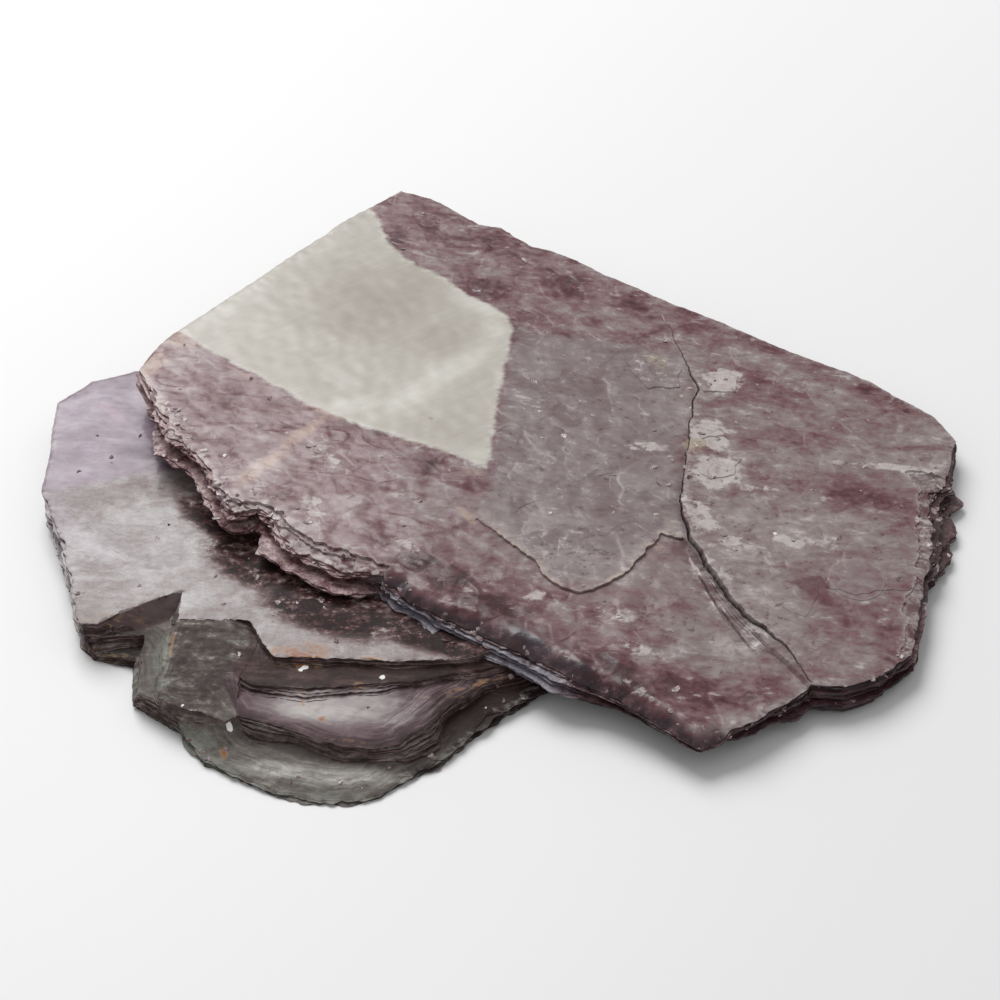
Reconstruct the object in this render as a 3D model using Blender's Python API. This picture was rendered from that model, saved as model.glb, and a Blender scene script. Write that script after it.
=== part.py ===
# Mica crystal: two books of purple mica grown together, the larger one lying aslant on the smaller.
# Each book is a pile of flat leaves with ragged edges. Where the books overlap they are one solid.
# Outlines and heights are in millimetres on a drawing whose origin is near the middle of the specimen.
# The finished solid is moved so that its base is at z = 0 and its box is centred on x = 0, y = 0.

import math

import bmesh
import bpy
from mathutils import Vector, noise

MM = 0.001

# Driving dimensions, in millimetres and degrees
UPPER_THICKNESS = 3.0
UPPER_TILT_ABOUT_X = 0.86
UPPER_TILT_ABOUT_Y = 3.72
UPPER_TOP_AT_ORIGIN = 5.98
SHEET_TOP = 3.8
BLOCK_TOP = 3.5
BLOCK_SLOPE = 3.4
BLOCK_HINGE_Y = -17.3
STEP_TOP = 3.0
TERRACE_TOP = 2.3
SHELF_TOP = 2.4
FOOT_TOP = 1.0
SCAR_DEPTH = 0.45
CRACK_WIDTH = 0.7
CRACK_DEPTH = 0.8
SECOND_CRACK_WIDTH = 0.42
SECOND_CRACK_DEPTH = 1.12
CRACK_END_SHARE = 0.35
PAD_HEIGHT = 0.15
PAD_ROOT = 0.4
CLEAR_ABOVE = 3.0
CRACK_CLEAR_ABOVE = 0.6
LEDGE_FALL = 0.06
EDGE_SPACING = 2.2
RAGGEDNESS = 0.28
RAGGED_PER_MM = 0.23
UPPER_SEED = 1.3
FOOT_SEED = 5.1
LOWER_SEED = 7.0
LEAF_SEED_STEP = 3.7

UPPER_OUTLINE = [
    (-11.2, 50.3), (-7.9, 49.3), (-2.4, 44.9), (0.1, 44.4), (3.4, 41.2), (5.3, 40.8),
    (7.9, 39.1), (18.6, 32.1), (32.1, 23.9), (39.1, 20.0), (45.3, 14.6), (47.1, 10.7),
    (46.2, 7.2), (45.4, 3.8), (43.6, 2.3), (42.6, -4.4), (42.7, -7.5), (41.5, -10.3),
    (39.9, -18.2), (39.0, -21.4), (35.3, -24.7), (32.2, -26.1), (29.0, -26.1), (26.8, -27.9),
    (23.4, -30.6), (18.4, -33.7), (16.4, -32.5), (12.8, -29.4), (9.2, -26.9), (5.5, -24.9),
    (0.7, -21.7), (-5.5, -18.3), (-9.5, -15.8), (-11.2, -13.7), (-15.0, -13.2), (-19.1, -10.8),
    (-21.5, -8.5), (-21.9, -6.3), (-23.8, -4.6), (-26.0, -5.8), (-27.6, -2.6), (-29.9, 2.4),
    (-33.2, 5.5), (-35.0, 10.8), (-37.4, 15.7), (-35.3, 20.6), (-33.0, 23.9), (-16.8, 44.8),
]

# Leaves of the upper book from the top down: the share of the thickness at each leaf's upper face,
# and how far the leaf stands out beyond the outline
UPPER_LEAVES = [(0.0, 0.0), (0.22, 0.3), (0.42, -0.25), (0.62, 0.3), (0.82, -0.1)]
FOOT_LEAVES = [(0.0, 0.0), (0.5, 0.25)]

# Stretches of the rim where some leaves stand out or draw back:
# two ends, half width of the stretch, and the extra reach of each leaf
UPPER_STRETCHES = [
    ((-33.5, 6.0), (-22.5, -8.0), 3.0, {2: -0.5, 3: 0.7, 4: 0.5}),
    ((-22.5, -9.5), (-14.0, -13.6), 3.0, {1: -0.2, 2: -0.4, 3: 1.0, 4: 0.6}),
    ((-5.0, -18.6), (5.0, -25.0), 3.0, {1: 0.3, 2: 0.8, 3: 0.9, 4: 1.1}),
    ((18.6, -34.5), (18.6, -34.4), 4.0, {2: -0.4, 3: -0.8, 4: -1.2}),
    ((34.0, -26.5), (28.0, -28.0), 3.5, {1: 0.1, 2: 0.5, 3: 0.5, 4: 0.7}),
    ((24.5, -30.0), (20.5, -32.5), 3.0, {1: -0.2, 2: -0.1, 3: -0.4, 4: -0.4}),
    ((7.0, -26.0), (9.0, -27.0), 3.0, {2: 0.2, 3: 0.3, 4: 0.5}),
    ((12.5, -29.3), (15.5, -32.0), 3.0, {1: -0.2, 2: -0.2, 3: -0.6, 4: -0.6}),
    ((44.6, 1.5), (43.2, -4.5), 3.5, {1: 0.5, 2: 1.6, 3: 2.0, 4: 1.8}),
]

# The lower book, from the floor up
FOOT_OUTLINE = [
    (-38.0, 20.6), (-42.3, 19.0), (-45.6, 15.8), (-45.4, 8.2), (-46.2, 2.6), (-44.6, -1.1),
    (-43.0, -5.7), (-42.0, -9.6), (-41.1, -13.3), (-40.1, -16.8), (-38.7, -18.9), (-34.7, -20.2),
    (-34.2, -25.6), (-32.7, -26.8), (-29.6, -29.3), (-27.0, -33.1), (-20.0, -37.0),
    (-17.2, -37.8), (-13.8, -38.1), (-10.9, -37.3), (-8.9, -35.3), (-5.9, -33.5), (-0.9, -27.8),
    (5.3, -23.1), (10.5, -15.0), (11.6, -4.0), (7.5, 8.5), (-3.0, 16.5), (-19.0, 20.5),
]
SHEET_OUTLINE = [
    (-38.7, 21.7), (-43.0, 19.8), (-46.3, 16.2), (-46.0, 8.2), (-45.7, 0.2), (-44.4, -3.2),
    (-43.0, -6.6), (-41.2, -11.1), (-40.7, -14.7), (-39.9, -18.0), (-38.3, -18.2), (-36.3, -16.4),
    (-33.6, -14.8), (-30.6, -13.5), (-30.7, -17.3), (-23.8, -17.5), (-22.5, -20.3),
    (-21.1, -22.4), (-15.0, -22.8), (-10.5, -23.2), (-6.6, -23.1), (-1.9, -22.5), (4.0, -18.0),
    (7.5, -10.0), (7.0, 0.0), (1.5, 10.0), (-8.0, 17.5), (-22.0, 22.0),
]
BLOCK_OUTLINE = [
    (-30.6, -13.4), (-31.0, -17.6), (-31.6, -26.5), (-32.4, -29.0), (-30.7, -30.2),
    (-25.5, -31.2), (-24.6, -30.8), (-25.0, -27.5), (-24.2, -23.8), (-22.9, -20.0),
    (-22.0, -14.0),
]
STEP_OUTLINE = [
    (-25.0, -16.0), (-24.9, -24.0), (-22.9, -25.6), (-17.6, -26.0), (-13.1, -25.5), (-9.3, -25.0),
    (-5.6, -24.4), (0.2, -22.8), (3.0, -16.0), (-4.0, -10.0),
]
TERRACE_OUTLINE = [
    (-26.2, -15.0), (-26.0, -25.2), (-24.2, -28.9), (-19.2, -30.6), (-16.8, -31.9),
    (-14.5, -32.9), (-11.4, -33.2), (-9.3, -32.7), (-6.4, -29.7), (-4.2, -27.3), (-1.5, -24.7),
    (3.0, -22.6), (8.0, -14.0), (0.0, -8.0),
]
SHELF_OUTLINE = [
    (-40.2, -16.4), (-38.9, -19.2), (-36.2, -18.0), (-33.9, -18.0), (-33.8, -28.4),
    (-28.0, -29.0), (-28.0, -12.0), (-36.0, -10.0),
]

# Parts of the lower book above its foot: name, outline, underside (inside the foot), top,
# leaves from the top down, and the slope of the part towards the viewer in degrees
LOWER_BOOK_PARTS = [
    ("shelf", SHELF_OUTLINE, 0.3, SHELF_TOP, [(0.0, 0.0), (0.35, 0.4), (0.6, 0.1)], 0.0),
    ("terrace", TERRACE_OUTLINE, 0.4, TERRACE_TOP, [(0.0, 0.0), (0.3, -0.3), (0.55, 0.5)], 0.0),
    ("step", STEP_OUTLINE, 0.5, STEP_TOP, [(0.0, 0.0), (0.25, 0.4)], 0.0),
    ("block", BLOCK_OUTLINE, 0.95, BLOCK_TOP, [(0.0, 0.0), (0.25, 0.4), (0.5, 0.7)], BLOCK_SLOPE),
    ("sheet", SHEET_OUTLINE, 0.7, SHEET_TOP, [(0.0, 0.0), (0.2, -0.3), (0.45, 0.3)], 0.0),
]

# On the upper face of the upper book: leaves broken away in front of a scalloped edge.
# Each corner has its own depth below the face, so the broken area fades out to the left.
SCAR_CORNERS = [
    (-2.2, -5.2, 0.3), (1.2, -8.5, 1.0), (3.4, -10.8, 1.0), (4.8, -13.8, 1.0), (5.7, -14.4, 1.0),
    (9.1, -14.5, 1.0), (10.1, -13.7, 1.0), (11.9, -11.9, 1.0), (15.3, -7.1, 1.0),
    (15.9, -5.9, 1.0), (17.9, -6.4, 1.0), (18.9, -8.0, 1.1), (20.1, -10.6, 1.2),
    (22.7, -16.2, 1.4), (24.3, -18.4, 1.5), (27.3, -22.3, 1.2), (30.5, -28.5, 1.0),
    (20.0, -38.0, 1.2), (8.0, -32.0, 1.2), (-5.0, -24.0, 0.6), (-12.0, -17.0, -0.1),
    (-10.0, -10.0, -0.1),
]
CRACK_LINE = [
    (17.4, 30.5), (19.5, 22.3), (20.7, 17.7), (19.9, 13.5), (19.4, 8.6), (18.5, 2.2),
    (18.0, -1.1), (18.2, -3.8), (18.9, -7.1), (20.1, -10.3), (21.4, -13.2), (22.7, -16.2),
    (24.3, -18.3), (26.7, -20.7), (28.9, -25.7), (29.6, -27.8),
]
SECOND_CRACK_LINE = [(19.4, -11.7), (20.8, -15.5), (22.4, -18.7), (23.9, -21.5)]
PAD_CENTRE = (34.5, -11.8)
PAD_RADII = (2.5, 3.1)
PAD_SIDES = 18

MICA_COLOUR = (0.30, 0.17, 0.19, 1.0)
MICA_ROUGHNESS = 0.35


def clear_scene():
    for item in list(bpy.data.objects):
        bpy.data.objects.remove(item, do_unlink=True)


def mica_material():
    material = bpy.data.materials.new("mica")
    material.use_nodes = True
    shader = material.node_tree.nodes["Principled BSDF"]
    shader.inputs["Base Color"].default_value = MICA_COLOUR
    shader.inputs["Roughness"].default_value = MICA_ROUGHNESS
    shader.inputs["Metallic"].default_value = 0.0
    return material


def signed_area(points):
    return 0.5 * sum(
        a[0] * b[1] - b[0] * a[1] for a, b in zip(points, points[1:] + points[:1])
    )


def rim_points(outline, spacing):
    # Points along the outline, anticlockwise, no further apart than about the spacing
    corners = outline if signed_area(outline) > 0 else outline[::-1]
    points = []
    for start, end in zip(corners, corners[1:] + corners[:1]):
        count = max(1, round(math.dist(start, end) / spacing))
        for i in range(count):
            share = i / count
            points.append(
                (start[0] + share * (end[0] - start[0]), start[1] + share * (end[1] - start[1]))
            )
    return points


def outward_directions(points):
    directions = []
    for before, after in zip(points[-1:] + points[:-1], points[1:] + points[:1]):
        along = Vector((after[0] - before[0], after[1] - before[1])).normalized()
        directions.append(Vector((along.y, -along.x)))
    return directions


def distance_to_segment(point, start, end):
    p, a, b = Vector(point), Vector(start), Vector(end)
    along = b - a
    share = max(0.0, min(1.0, (p - a).dot(along) / along.length_squared))
    return (p - a - share * along).length


def extra_reach(point, leaf, stretches):
    reach = 0.0
    for start, end, half_width, by_leaf in stretches:
        nearness = 1.0 - distance_to_segment(point, start, end) / half_width
        if nearness > 0.0:
            reach += by_leaf.get(leaf, 0.0) * min(1.0, 2.0 * nearness)
    return reach


def leaf_reach(point, leaf, base_reach, stretches, seed):
    where = Vector((point[0] * RAGGED_PER_MM, point[1] * RAGGED_PER_MM, seed + LEAF_SEED_STEP * leaf))
    return base_reach + RAGGEDNESS * noise.noise(where) + extra_reach(point, leaf, stretches)


def new_object(name, mesh_data, material):
    mesh = bpy.data.meshes.new(name)
    mesh_data.normal_update()
    bmesh.ops.triangulate(mesh_data, faces=mesh_data.faces[:])
    bmesh.ops.recalc_face_normals(mesh_data, faces=mesh_data.faces[:])
    mesh_data.to_mesh(mesh)
    mesh_data.free()
    mesh.materials.append(material)
    made = bpy.data.objects.new(name, mesh)
    bpy.context.scene.collection.objects.link(made)
    return made


def book_of_leaves(name, outline, low, high, leaves, seed, material, stretches=()):
    # One closed solid: a stack of leaves, each with its own rim and a small ledge to the next
    points = rim_points(outline, EDGE_SPACING)
    outward = outward_directions(points)
    mesh_data = bmesh.new()
    rings = []
    for number, (share, base_reach) in enumerate(leaves):
        is_last = number + 1 == len(leaves)
        foot = low if is_last else high - leaves[number + 1][0] * (high - low) + LEDGE_FALL
        for height in (high - share * (high - low), foot):
            ring = []
            for point, direction in zip(points, outward):
                reach = leaf_reach(point, number, base_reach, stretches, seed)
                ring.append(
                    mesh_data.verts.new(
                        (
                            (point[0] + reach * direction.x) * MM,
                            (point[1] + reach * direction.y) * MM,
                            height * MM,
                        )
                    )
                )
            rings.append(ring)
    for upper, lower in zip(rings, rings[1:]):
        for i in range(len(points)):
            j = (i + 1) % len(points)
            mesh_data.faces.new((upper[i], lower[i], lower[j], upper[j]))
    mesh_data.faces.new(rings[0])
    mesh_data.faces.new(rings[-1][::-1])
    return new_object(name, mesh_data, material)


def hide_as_cutter(item):
    item.hide_render = True
    item.display_type = "WIRE"


def combine(target, other, operation):
    step = target.modifiers.new(other.name, "BOOLEAN")
    step.operation = operation
    step.solver = "EXACT"
    step.object = other
    hide_as_cutter(other)


def scar_cutter(material):
    # A prism over the broken area, whose underside follows the depth at each corner
    corners = SCAR_CORNERS if signed_area([c[:2] for c in SCAR_CORNERS]) > 0 else SCAR_CORNERS[::-1]
    mesh_data = bmesh.new()
    top = [mesh_data.verts.new((x * MM, y * MM, CLEAR_ABOVE * MM)) for x, y, _ in corners]
    bottom = [
        mesh_data.verts.new((x * MM, y * MM, -depth * SCAR_DEPTH * MM)) for x, y, depth in corners
    ]
    mesh_data.faces.new(top)
    mesh_data.faces.new(bottom[::-1])
    for i in range(len(corners)):
        j = (i + 1) % len(corners)
        mesh_data.faces.new((bottom[i], bottom[j], top[j], top[i]))
    return new_object("scar_cutter", mesh_data, material)


def groove_cutter(name, line, width, depth, material):
    # A V-shaped bar along the line, narrowing to nothing much at both ends
    mesh_data = bmesh.new()
    rings = []
    for i, (x, y) in enumerate(line):
        before = line[max(i - 1, 0)]
        after = line[min(i + 1, len(line) - 1)]
        along = Vector((after[0] - before[0], after[1] - before[1])).normalized()
        side = Vector((-along.y, along.x))
        taper = CRACK_END_SHARE if i in (0, len(line) - 1) else 1.0
        half = 0.5 * width * taper
        section = [
            (x + half * side.x, y + half * side.y, CRACK_CLEAR_ABOVE),
            (x, y, -depth * taper),
            (x - half * side.x, y - half * side.y, CRACK_CLEAR_ABOVE),
        ]
        rings.append([mesh_data.verts.new(Vector(corner) * MM) for corner in section])
    for ring, after in zip(rings, rings[1:]):
        for i in range(3):
            j = (i + 1) % 3
            mesh_data.faces.new((ring[i], ring[j], after[j], after[i]))
    mesh_data.faces.new(rings[0][::-1])
    mesh_data.faces.new(rings[-1])
    return new_object(name, mesh_data, material)


def thin_pad(material):
    # A small round leaf left on the upper face
    mesh_data = bmesh.new()
    rings = []
    for height in (PAD_HEIGHT, -PAD_ROOT):
        rings.append(
            [
                mesh_data.verts.new(
                    (
                        (PAD_CENTRE[0] + PAD_RADII[0] * math.cos(turn)) * MM,
                        (PAD_CENTRE[1] + PAD_RADII[1] * math.sin(turn)) * MM,
                        height * MM,
                    )
                )
                for turn in (2 * math.pi * i / PAD_SIDES for i in range(PAD_SIDES))
            ]
        )
    for i in range(PAD_SIDES):
        j = (i + 1) % PAD_SIDES
        mesh_data.faces.new((rings[0][i], rings[1][i], rings[1][j], rings[0][j]))
    mesh_data.faces.new(rings[0])
    mesh_data.faces.new(rings[1][::-1])
    return new_object("round_leaf", mesh_data, material)


def upper_book(material):
    book = book_of_leaves(
        "upper_book",
        UPPER_OUTLINE,
        -UPPER_THICKNESS,
        0.0,
        UPPER_LEAVES,
        UPPER_SEED,
        material,
        UPPER_STRETCHES,
    )
    extras = [
        (scar_cutter(material), "DIFFERENCE"),
        (groove_cutter("crack", CRACK_LINE, CRACK_WIDTH, CRACK_DEPTH, material), "DIFFERENCE"),
        (
            groove_cutter(
                "second_crack",
                SECOND_CRACK_LINE,
                SECOND_CRACK_WIDTH,
                SECOND_CRACK_DEPTH,
                material,
            ),
            "DIFFERENCE",
        ),
        (thin_pad(material), "UNION"),
    ]
    for item, operation in extras:
        item.parent = book
        combine(book, item, operation)
    book.location = (0.0, 0.0, UPPER_TOP_AT_ORIGIN * MM)
    book.rotation_euler = (
        math.radians(UPPER_TILT_ABOUT_X),
        math.radians(UPPER_TILT_ABOUT_Y),
        0.0,
    )
    return book


def whole_crystal(material):
    crystal = book_of_leaves(
        "mica_crystal",
        FOOT_OUTLINE,
        0.0,
        FOOT_TOP,
        FOOT_LEAVES,
        FOOT_SEED,
        material,
    )
    for seed, (name, outline, low, high, leaves, slope) in enumerate(LOWER_BOOK_PARTS):
        part = book_of_leaves(name, outline, low, high, leaves, LOWER_SEED + seed, material)
        part.rotation_euler.x = math.radians(slope)
        part.location.z = -BLOCK_HINGE_Y * math.sin(math.radians(slope)) * MM
        part.parent = crystal
        combine(crystal, part, "UNION")
    book = upper_book(material)
    book.parent = crystal
    combine(crystal, book, "UNION")
    return crystal


def centre_over_origin(crystal):
    bpy.context.view_layer.update()
    evaluated = crystal.evaluated_get(bpy.context.evaluated_depsgraph_get())
    corners = [Vector(corner) for corner in evaluated.bound_box]
    for axis in (0, 1):
        values = [corner[axis] for corner in corners]
        crystal.location[axis] = -0.5 * (min(values) + max(values))


clear_scene()
centre_over_origin(whole_crystal(mica_material()))
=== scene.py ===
import math

import bpy
import numpy as np
from mathutils import Euler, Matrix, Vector, noise
from mathutils.geometry import delaunay_2d_cdt


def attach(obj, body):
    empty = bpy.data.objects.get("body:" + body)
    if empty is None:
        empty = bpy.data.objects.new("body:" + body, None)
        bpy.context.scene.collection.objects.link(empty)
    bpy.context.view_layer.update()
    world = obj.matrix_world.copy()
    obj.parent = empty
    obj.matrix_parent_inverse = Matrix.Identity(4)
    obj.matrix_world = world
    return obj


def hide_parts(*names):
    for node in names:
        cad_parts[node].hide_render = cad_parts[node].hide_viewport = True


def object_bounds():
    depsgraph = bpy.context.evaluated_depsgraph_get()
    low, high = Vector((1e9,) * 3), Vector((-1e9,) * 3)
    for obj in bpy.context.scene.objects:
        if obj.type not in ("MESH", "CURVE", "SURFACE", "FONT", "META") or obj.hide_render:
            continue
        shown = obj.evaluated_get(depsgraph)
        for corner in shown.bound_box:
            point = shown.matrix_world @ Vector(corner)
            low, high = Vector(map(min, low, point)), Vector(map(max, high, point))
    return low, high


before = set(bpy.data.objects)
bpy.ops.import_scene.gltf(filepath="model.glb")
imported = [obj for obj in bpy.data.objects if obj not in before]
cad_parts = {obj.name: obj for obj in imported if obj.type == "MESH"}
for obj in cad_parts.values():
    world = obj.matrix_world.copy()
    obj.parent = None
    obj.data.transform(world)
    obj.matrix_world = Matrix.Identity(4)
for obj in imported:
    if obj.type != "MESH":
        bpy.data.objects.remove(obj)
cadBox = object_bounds()

# Everything is drawn in millimetres, then moved into the part's frame
mm = 0.001
drawingShift = (-0.341, -6.057)

view = {"aim": (0.0, 0.0, 4.0), "elevation": 40.0, "distance": 277.8, "lens": 100.0, "sensor": 36.0}


def addCamera():
    data = bpy.data.cameras.new("camera")
    data.lens = view["lens"]
    data.sensor_width = view["sensor"]
    data.clip_start = 0.01
    camera = bpy.data.objects.new("camera", data)
    bpy.context.scene.collection.objects.link(camera)
    rise = math.radians(view["elevation"])
    aim = Vector(view["aim"]) + Vector((*drawingShift, 0.0))
    camera.location = (aim + Vector((0.0, -math.cos(rise), math.sin(rise))) * view["distance"]) * mm
    camera.rotation_euler = (math.radians(90.0) - rise, 0.0, 0.0)
    bpy.context.scene.camera = camera
    bpy.context.scene.view_settings.view_transform = "Standard"


addCamera()


# Lines and outlines

def closedEnds(line, closed):
    points = np.asarray(line, float)
    if closed:
        return points, np.roll(points, -1, axis=0)
    return points[:-1], points[1:]


def resample(line, spacing, closed=True):
    made = []
    starts, ends = closedEnds(line, closed)
    for start, end in zip(starts, ends):
        count = max(1, round(np.linalg.norm(end - start) / spacing))
        made += [start + (end - start) * i / count for i in range(count)]
    if not closed:
        made.append(np.asarray(line[-1], float))
    return np.array(made)


def area(outline):
    starts, ends = closedEnds(outline, True)
    return 0.5 * np.sum(starts[:, 0] * ends[:, 1] - ends[:, 0] * starts[:, 1])


def anticlockwise(outline):
    return list(outline) if area(outline) > 0 else list(outline)[::-1]


def outward(points, reach, closed=True):
    # Unit directions to the right of the way along, which is outwards on an anticlockwise outline
    if closed:
        along = np.roll(points, -reach, axis=0) - np.roll(points, reach, axis=0)
    else:
        last = len(points) - 1
        index = np.arange(len(points))
        along = points[np.minimum(index + reach, last)] - points[np.maximum(index - reach, 0)]
    along /= np.maximum(np.linalg.norm(along, axis=1), 1e-9)[:, None]
    return np.stack([along[:, 1], -along[:, 0]], axis=1)


farAway = 4.0


def nearest(points, line, closed=True, limit=farAway):
    # Distance to the line up to a limit, and the side of each point: 1 left of the way along, -1 right
    best = np.full(len(points), limit)
    side = np.ones(len(points))
    order = np.argsort(points[:, 0])
    across = points[order]
    for start, end in zip(*closedEnds(line, closed)):
        first = np.searchsorted(across[:, 0], min(start[0], end[0]) - limit)
        last = np.searchsorted(across[:, 0], max(start[0], end[0]) + limit)
        low, high = min(start[1], end[1]) - limit, max(start[1], end[1]) + limit
        close = order[first:last][(across[first:last, 1] > low) & (across[first:last, 1] < high)]
        along = end - start
        offset = points[close] - start
        share = np.clip(offset @ along / max(along @ along, 1e-12), 0.0, 1.0)
        gap = np.linalg.norm(offset - share[:, None] * along, axis=1)
        closer = gap < best[close]
        chosen = close[closer]
        best[chosen] = gap[closer]
        turn = along[0] * offset[closer, 1] - along[1] * offset[closer, 0]
        side[chosen] = np.where(turn >= 0, 1.0, -1.0)
    return best, side


def within(points, outline):
    # Distance inside the outline, negative outside
    gap, _ = nearest(points, outline)
    odd = np.zeros(len(points), bool)
    order = np.argsort(points[:, 1], kind="stable")
    level = points[order, 1]
    for start, end in zip(*closedEnds(outline, True)):
        first = np.searchsorted(level, min(start[1], end[1]), "left")
        last = np.searchsorted(level, max(start[1], end[1]), "left")
        crossed = order[first:last]
        if len(crossed):
            rise = (points[crossed, 1] - start[1]) / (end[1] - start[1])
            odd[crossed] ^= points[crossed, 0] < start[0] + rise * (end[0] - start[0])
    return np.where(odd, gap, -gap)


def ripple(points, size, seed):
    return np.array([noise.noise(Vector((x / size, y / size, seed))) for x, y in points])


def ramp(value, low, high):
    share = np.clip((value - low) / (high - low), 0.0, 1.0)
    return share * share * (3.0 - 2.0 * share)


def patches(points, spots):
    # The strongest of several soft ovals: centre, half length, half width, turn in degrees, strength
    amount = np.zeros(len(points))
    for x, y, length, breadth, turn, strength in spots:
        c, s = math.cos(math.radians(turn)), math.sin(math.radians(turn))
        dx, dy = points[:, 0] - x, points[:, 1] - y
        u, v = (dx * c + dy * s) / length, (-dx * s + dy * c) / breadth
        amount = np.maximum(amount, strength * np.exp(-((u * u + v * v) ** 1.5)))
    return amount


# One closed mesh for a book of leaves: a fine upper face, a rim of stacked leaves and a plain underside

def ragged(points, amount, size, seed, reach=4):
    fine = amount * ripple(points, size, seed) + 0.5 * amount * ripple(points, 0.4 * size, seed + 9.1)
    return points + fine[:, None] * outward(points, reach)


def fill(rim, spacing, extra=(), keepOff=0.6):
    # Triangles inside a closed rim, whose own points come first and stay as they are
    low, high = rim.min(axis=0), rim.max(axis=0)
    rows = np.arange(low[1], high[1], spacing * 0.866)
    columns = np.arange(low[0], high[0], spacing)
    x, y = np.meshgrid(columns, rows)
    x = x + 0.5 * spacing * (np.arange(len(rows)) % 2)[:, None]
    jitter = np.random.default_rng(7).uniform(-0.16, 0.16, (2, *x.shape)) * spacing
    grid = np.stack([(x + jitter[0]).ravel(), (y + jitter[1]).ravel()], axis=1)
    grid = grid[within(grid, rim) > keepOff * spacing]
    lines = [line for line in extra]
    edges = []
    points = [rim]
    count = len(rim)
    for line in lines:
        inner = within(line, rim) > 0.12
        start = count
        points.append(line)
        count += len(line)
        edges += [(start + i, start + i + 1) for i in range(len(line) - 1) if inner[i] and inner[i + 1]]
        near, _ = nearest(grid, line, closed=False)
        grid = grid[near > 0.35 * spacing]
    flat = np.concatenate(points + [grid])
    keep = np.ones(len(flat), bool)
    outside = within(flat[len(rim):], rim) < 0.1
    keep[len(rim):] = ~outside
    index = np.cumsum(keep) - 1
    edges = [(int(index[a]), int(index[b])) for a, b in edges if keep[a] and keep[b]]
    flat = flat[keep]
    made, _, faces, origins, _, _ = delaunay_2d_cdt(
        [Vector(p) for p in flat], edges, [list(range(len(rim)))], 1, 1e-5, True
    )
    order = np.full(len(rim), -1)
    for new, old in enumerate(origins):
        for item in old:
            if item < len(rim):
                order[item] = new
    points = np.array([tuple(p) for p in made])
    triangles = np.array([face for face in faces if len(face) == 3])
    triangles = triangles[within(points[triangles].mean(axis=1), rim) > 0.0]
    a, b, c = points[triangles[:, 0]], points[triangles[:, 1]], points[triangles[:, 2]]
    turn = (b[:, 0] - a[:, 0]) * (c[:, 1] - a[:, 1]) - (b[:, 1] - a[:, 1]) * (c[:, 0] - a[:, 0])
    triangles[turn < 0] = triangles[turn < 0][:, ::-1]
    return points, triangles, order


def bookMesh(name, rim, leaves, topHeight, underHeight, place, spacing, lines, paint):
    # leaves: for each ring below the rim, its outline and its height
    flat, triangles, order = fill(rim, spacing, lines)
    heights = topHeight(flat)
    points = [np.column_stack([flat, heights])]
    faces = [tuple(map(int, t)) for t in triangles]
    upper = [int(i) for i in order]
    start = len(flat)
    count = len(rim)
    depth = [np.zeros(len(flat))]
    topRim = heights[order]
    for outline, height in leaves:
        points.append(np.column_stack([outline, height]))
        depth.append(np.maximum(topRim - height, 0.0))
        lower = list(range(start, start + count))
        start += count
        for i in range(count):
            j = (i + 1) % count
            faces.append((upper[i], lower[i], lower[j], upper[j]))
        upper = lower
    base, under, underOrder = fill(leaves[-1][0], spacing * 5.0, keepOff=0.4)
    underHeights = underHeight(base)
    isRim = np.zeros(len(base), bool)
    isRim[underOrder] = True
    renumber = np.zeros(len(base), int)
    renumber[underOrder] = np.array(upper)
    inner = np.where(~isRim)[0]
    renumber[inner] = start + np.arange(len(inner))
    points.append(np.column_stack([base[inner], underHeights[inner]]))
    depth.append(np.full(len(inner), 9.0))
    faces += [tuple(int(renumber[i]) for i in t[::-1]) for t in under]
    drawn = np.concatenate(points)
    mesh = bpy.data.meshes.new(name)
    mesh.from_pydata(place(drawn), [], faces)
    mesh.update()
    layers = dict(paint(drawn[:, :2], drawn[:, 2]), leafDepth=np.concatenate(depth))
    for title, values in layers.items():
        layer = mesh.attributes.new(title, "FLOAT", "POINT")
        layer.data.foreach_set("value", np.asarray(values, np.float32))
    made = bpy.data.objects.new(name, mesh)
    bpy.context.scene.collection.objects.link(made)
    mesh.polygons.foreach_set("use_smooth", np.ones(len(mesh.polygons), bool))
    mesh.set_sharp_from_angle(angle=math.radians(32.0))
    print(name, len(mesh.loop_triangles) or sum(len(f) - 2 for f in faces), "triangles")
    return made


def inBox(points):
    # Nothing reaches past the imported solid's box
    low, high = np.array(cadBox[0]), np.array(cadBox[1])
    return np.clip(points, low, high)


# The upper book, drawn level and then laid aslant

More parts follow.
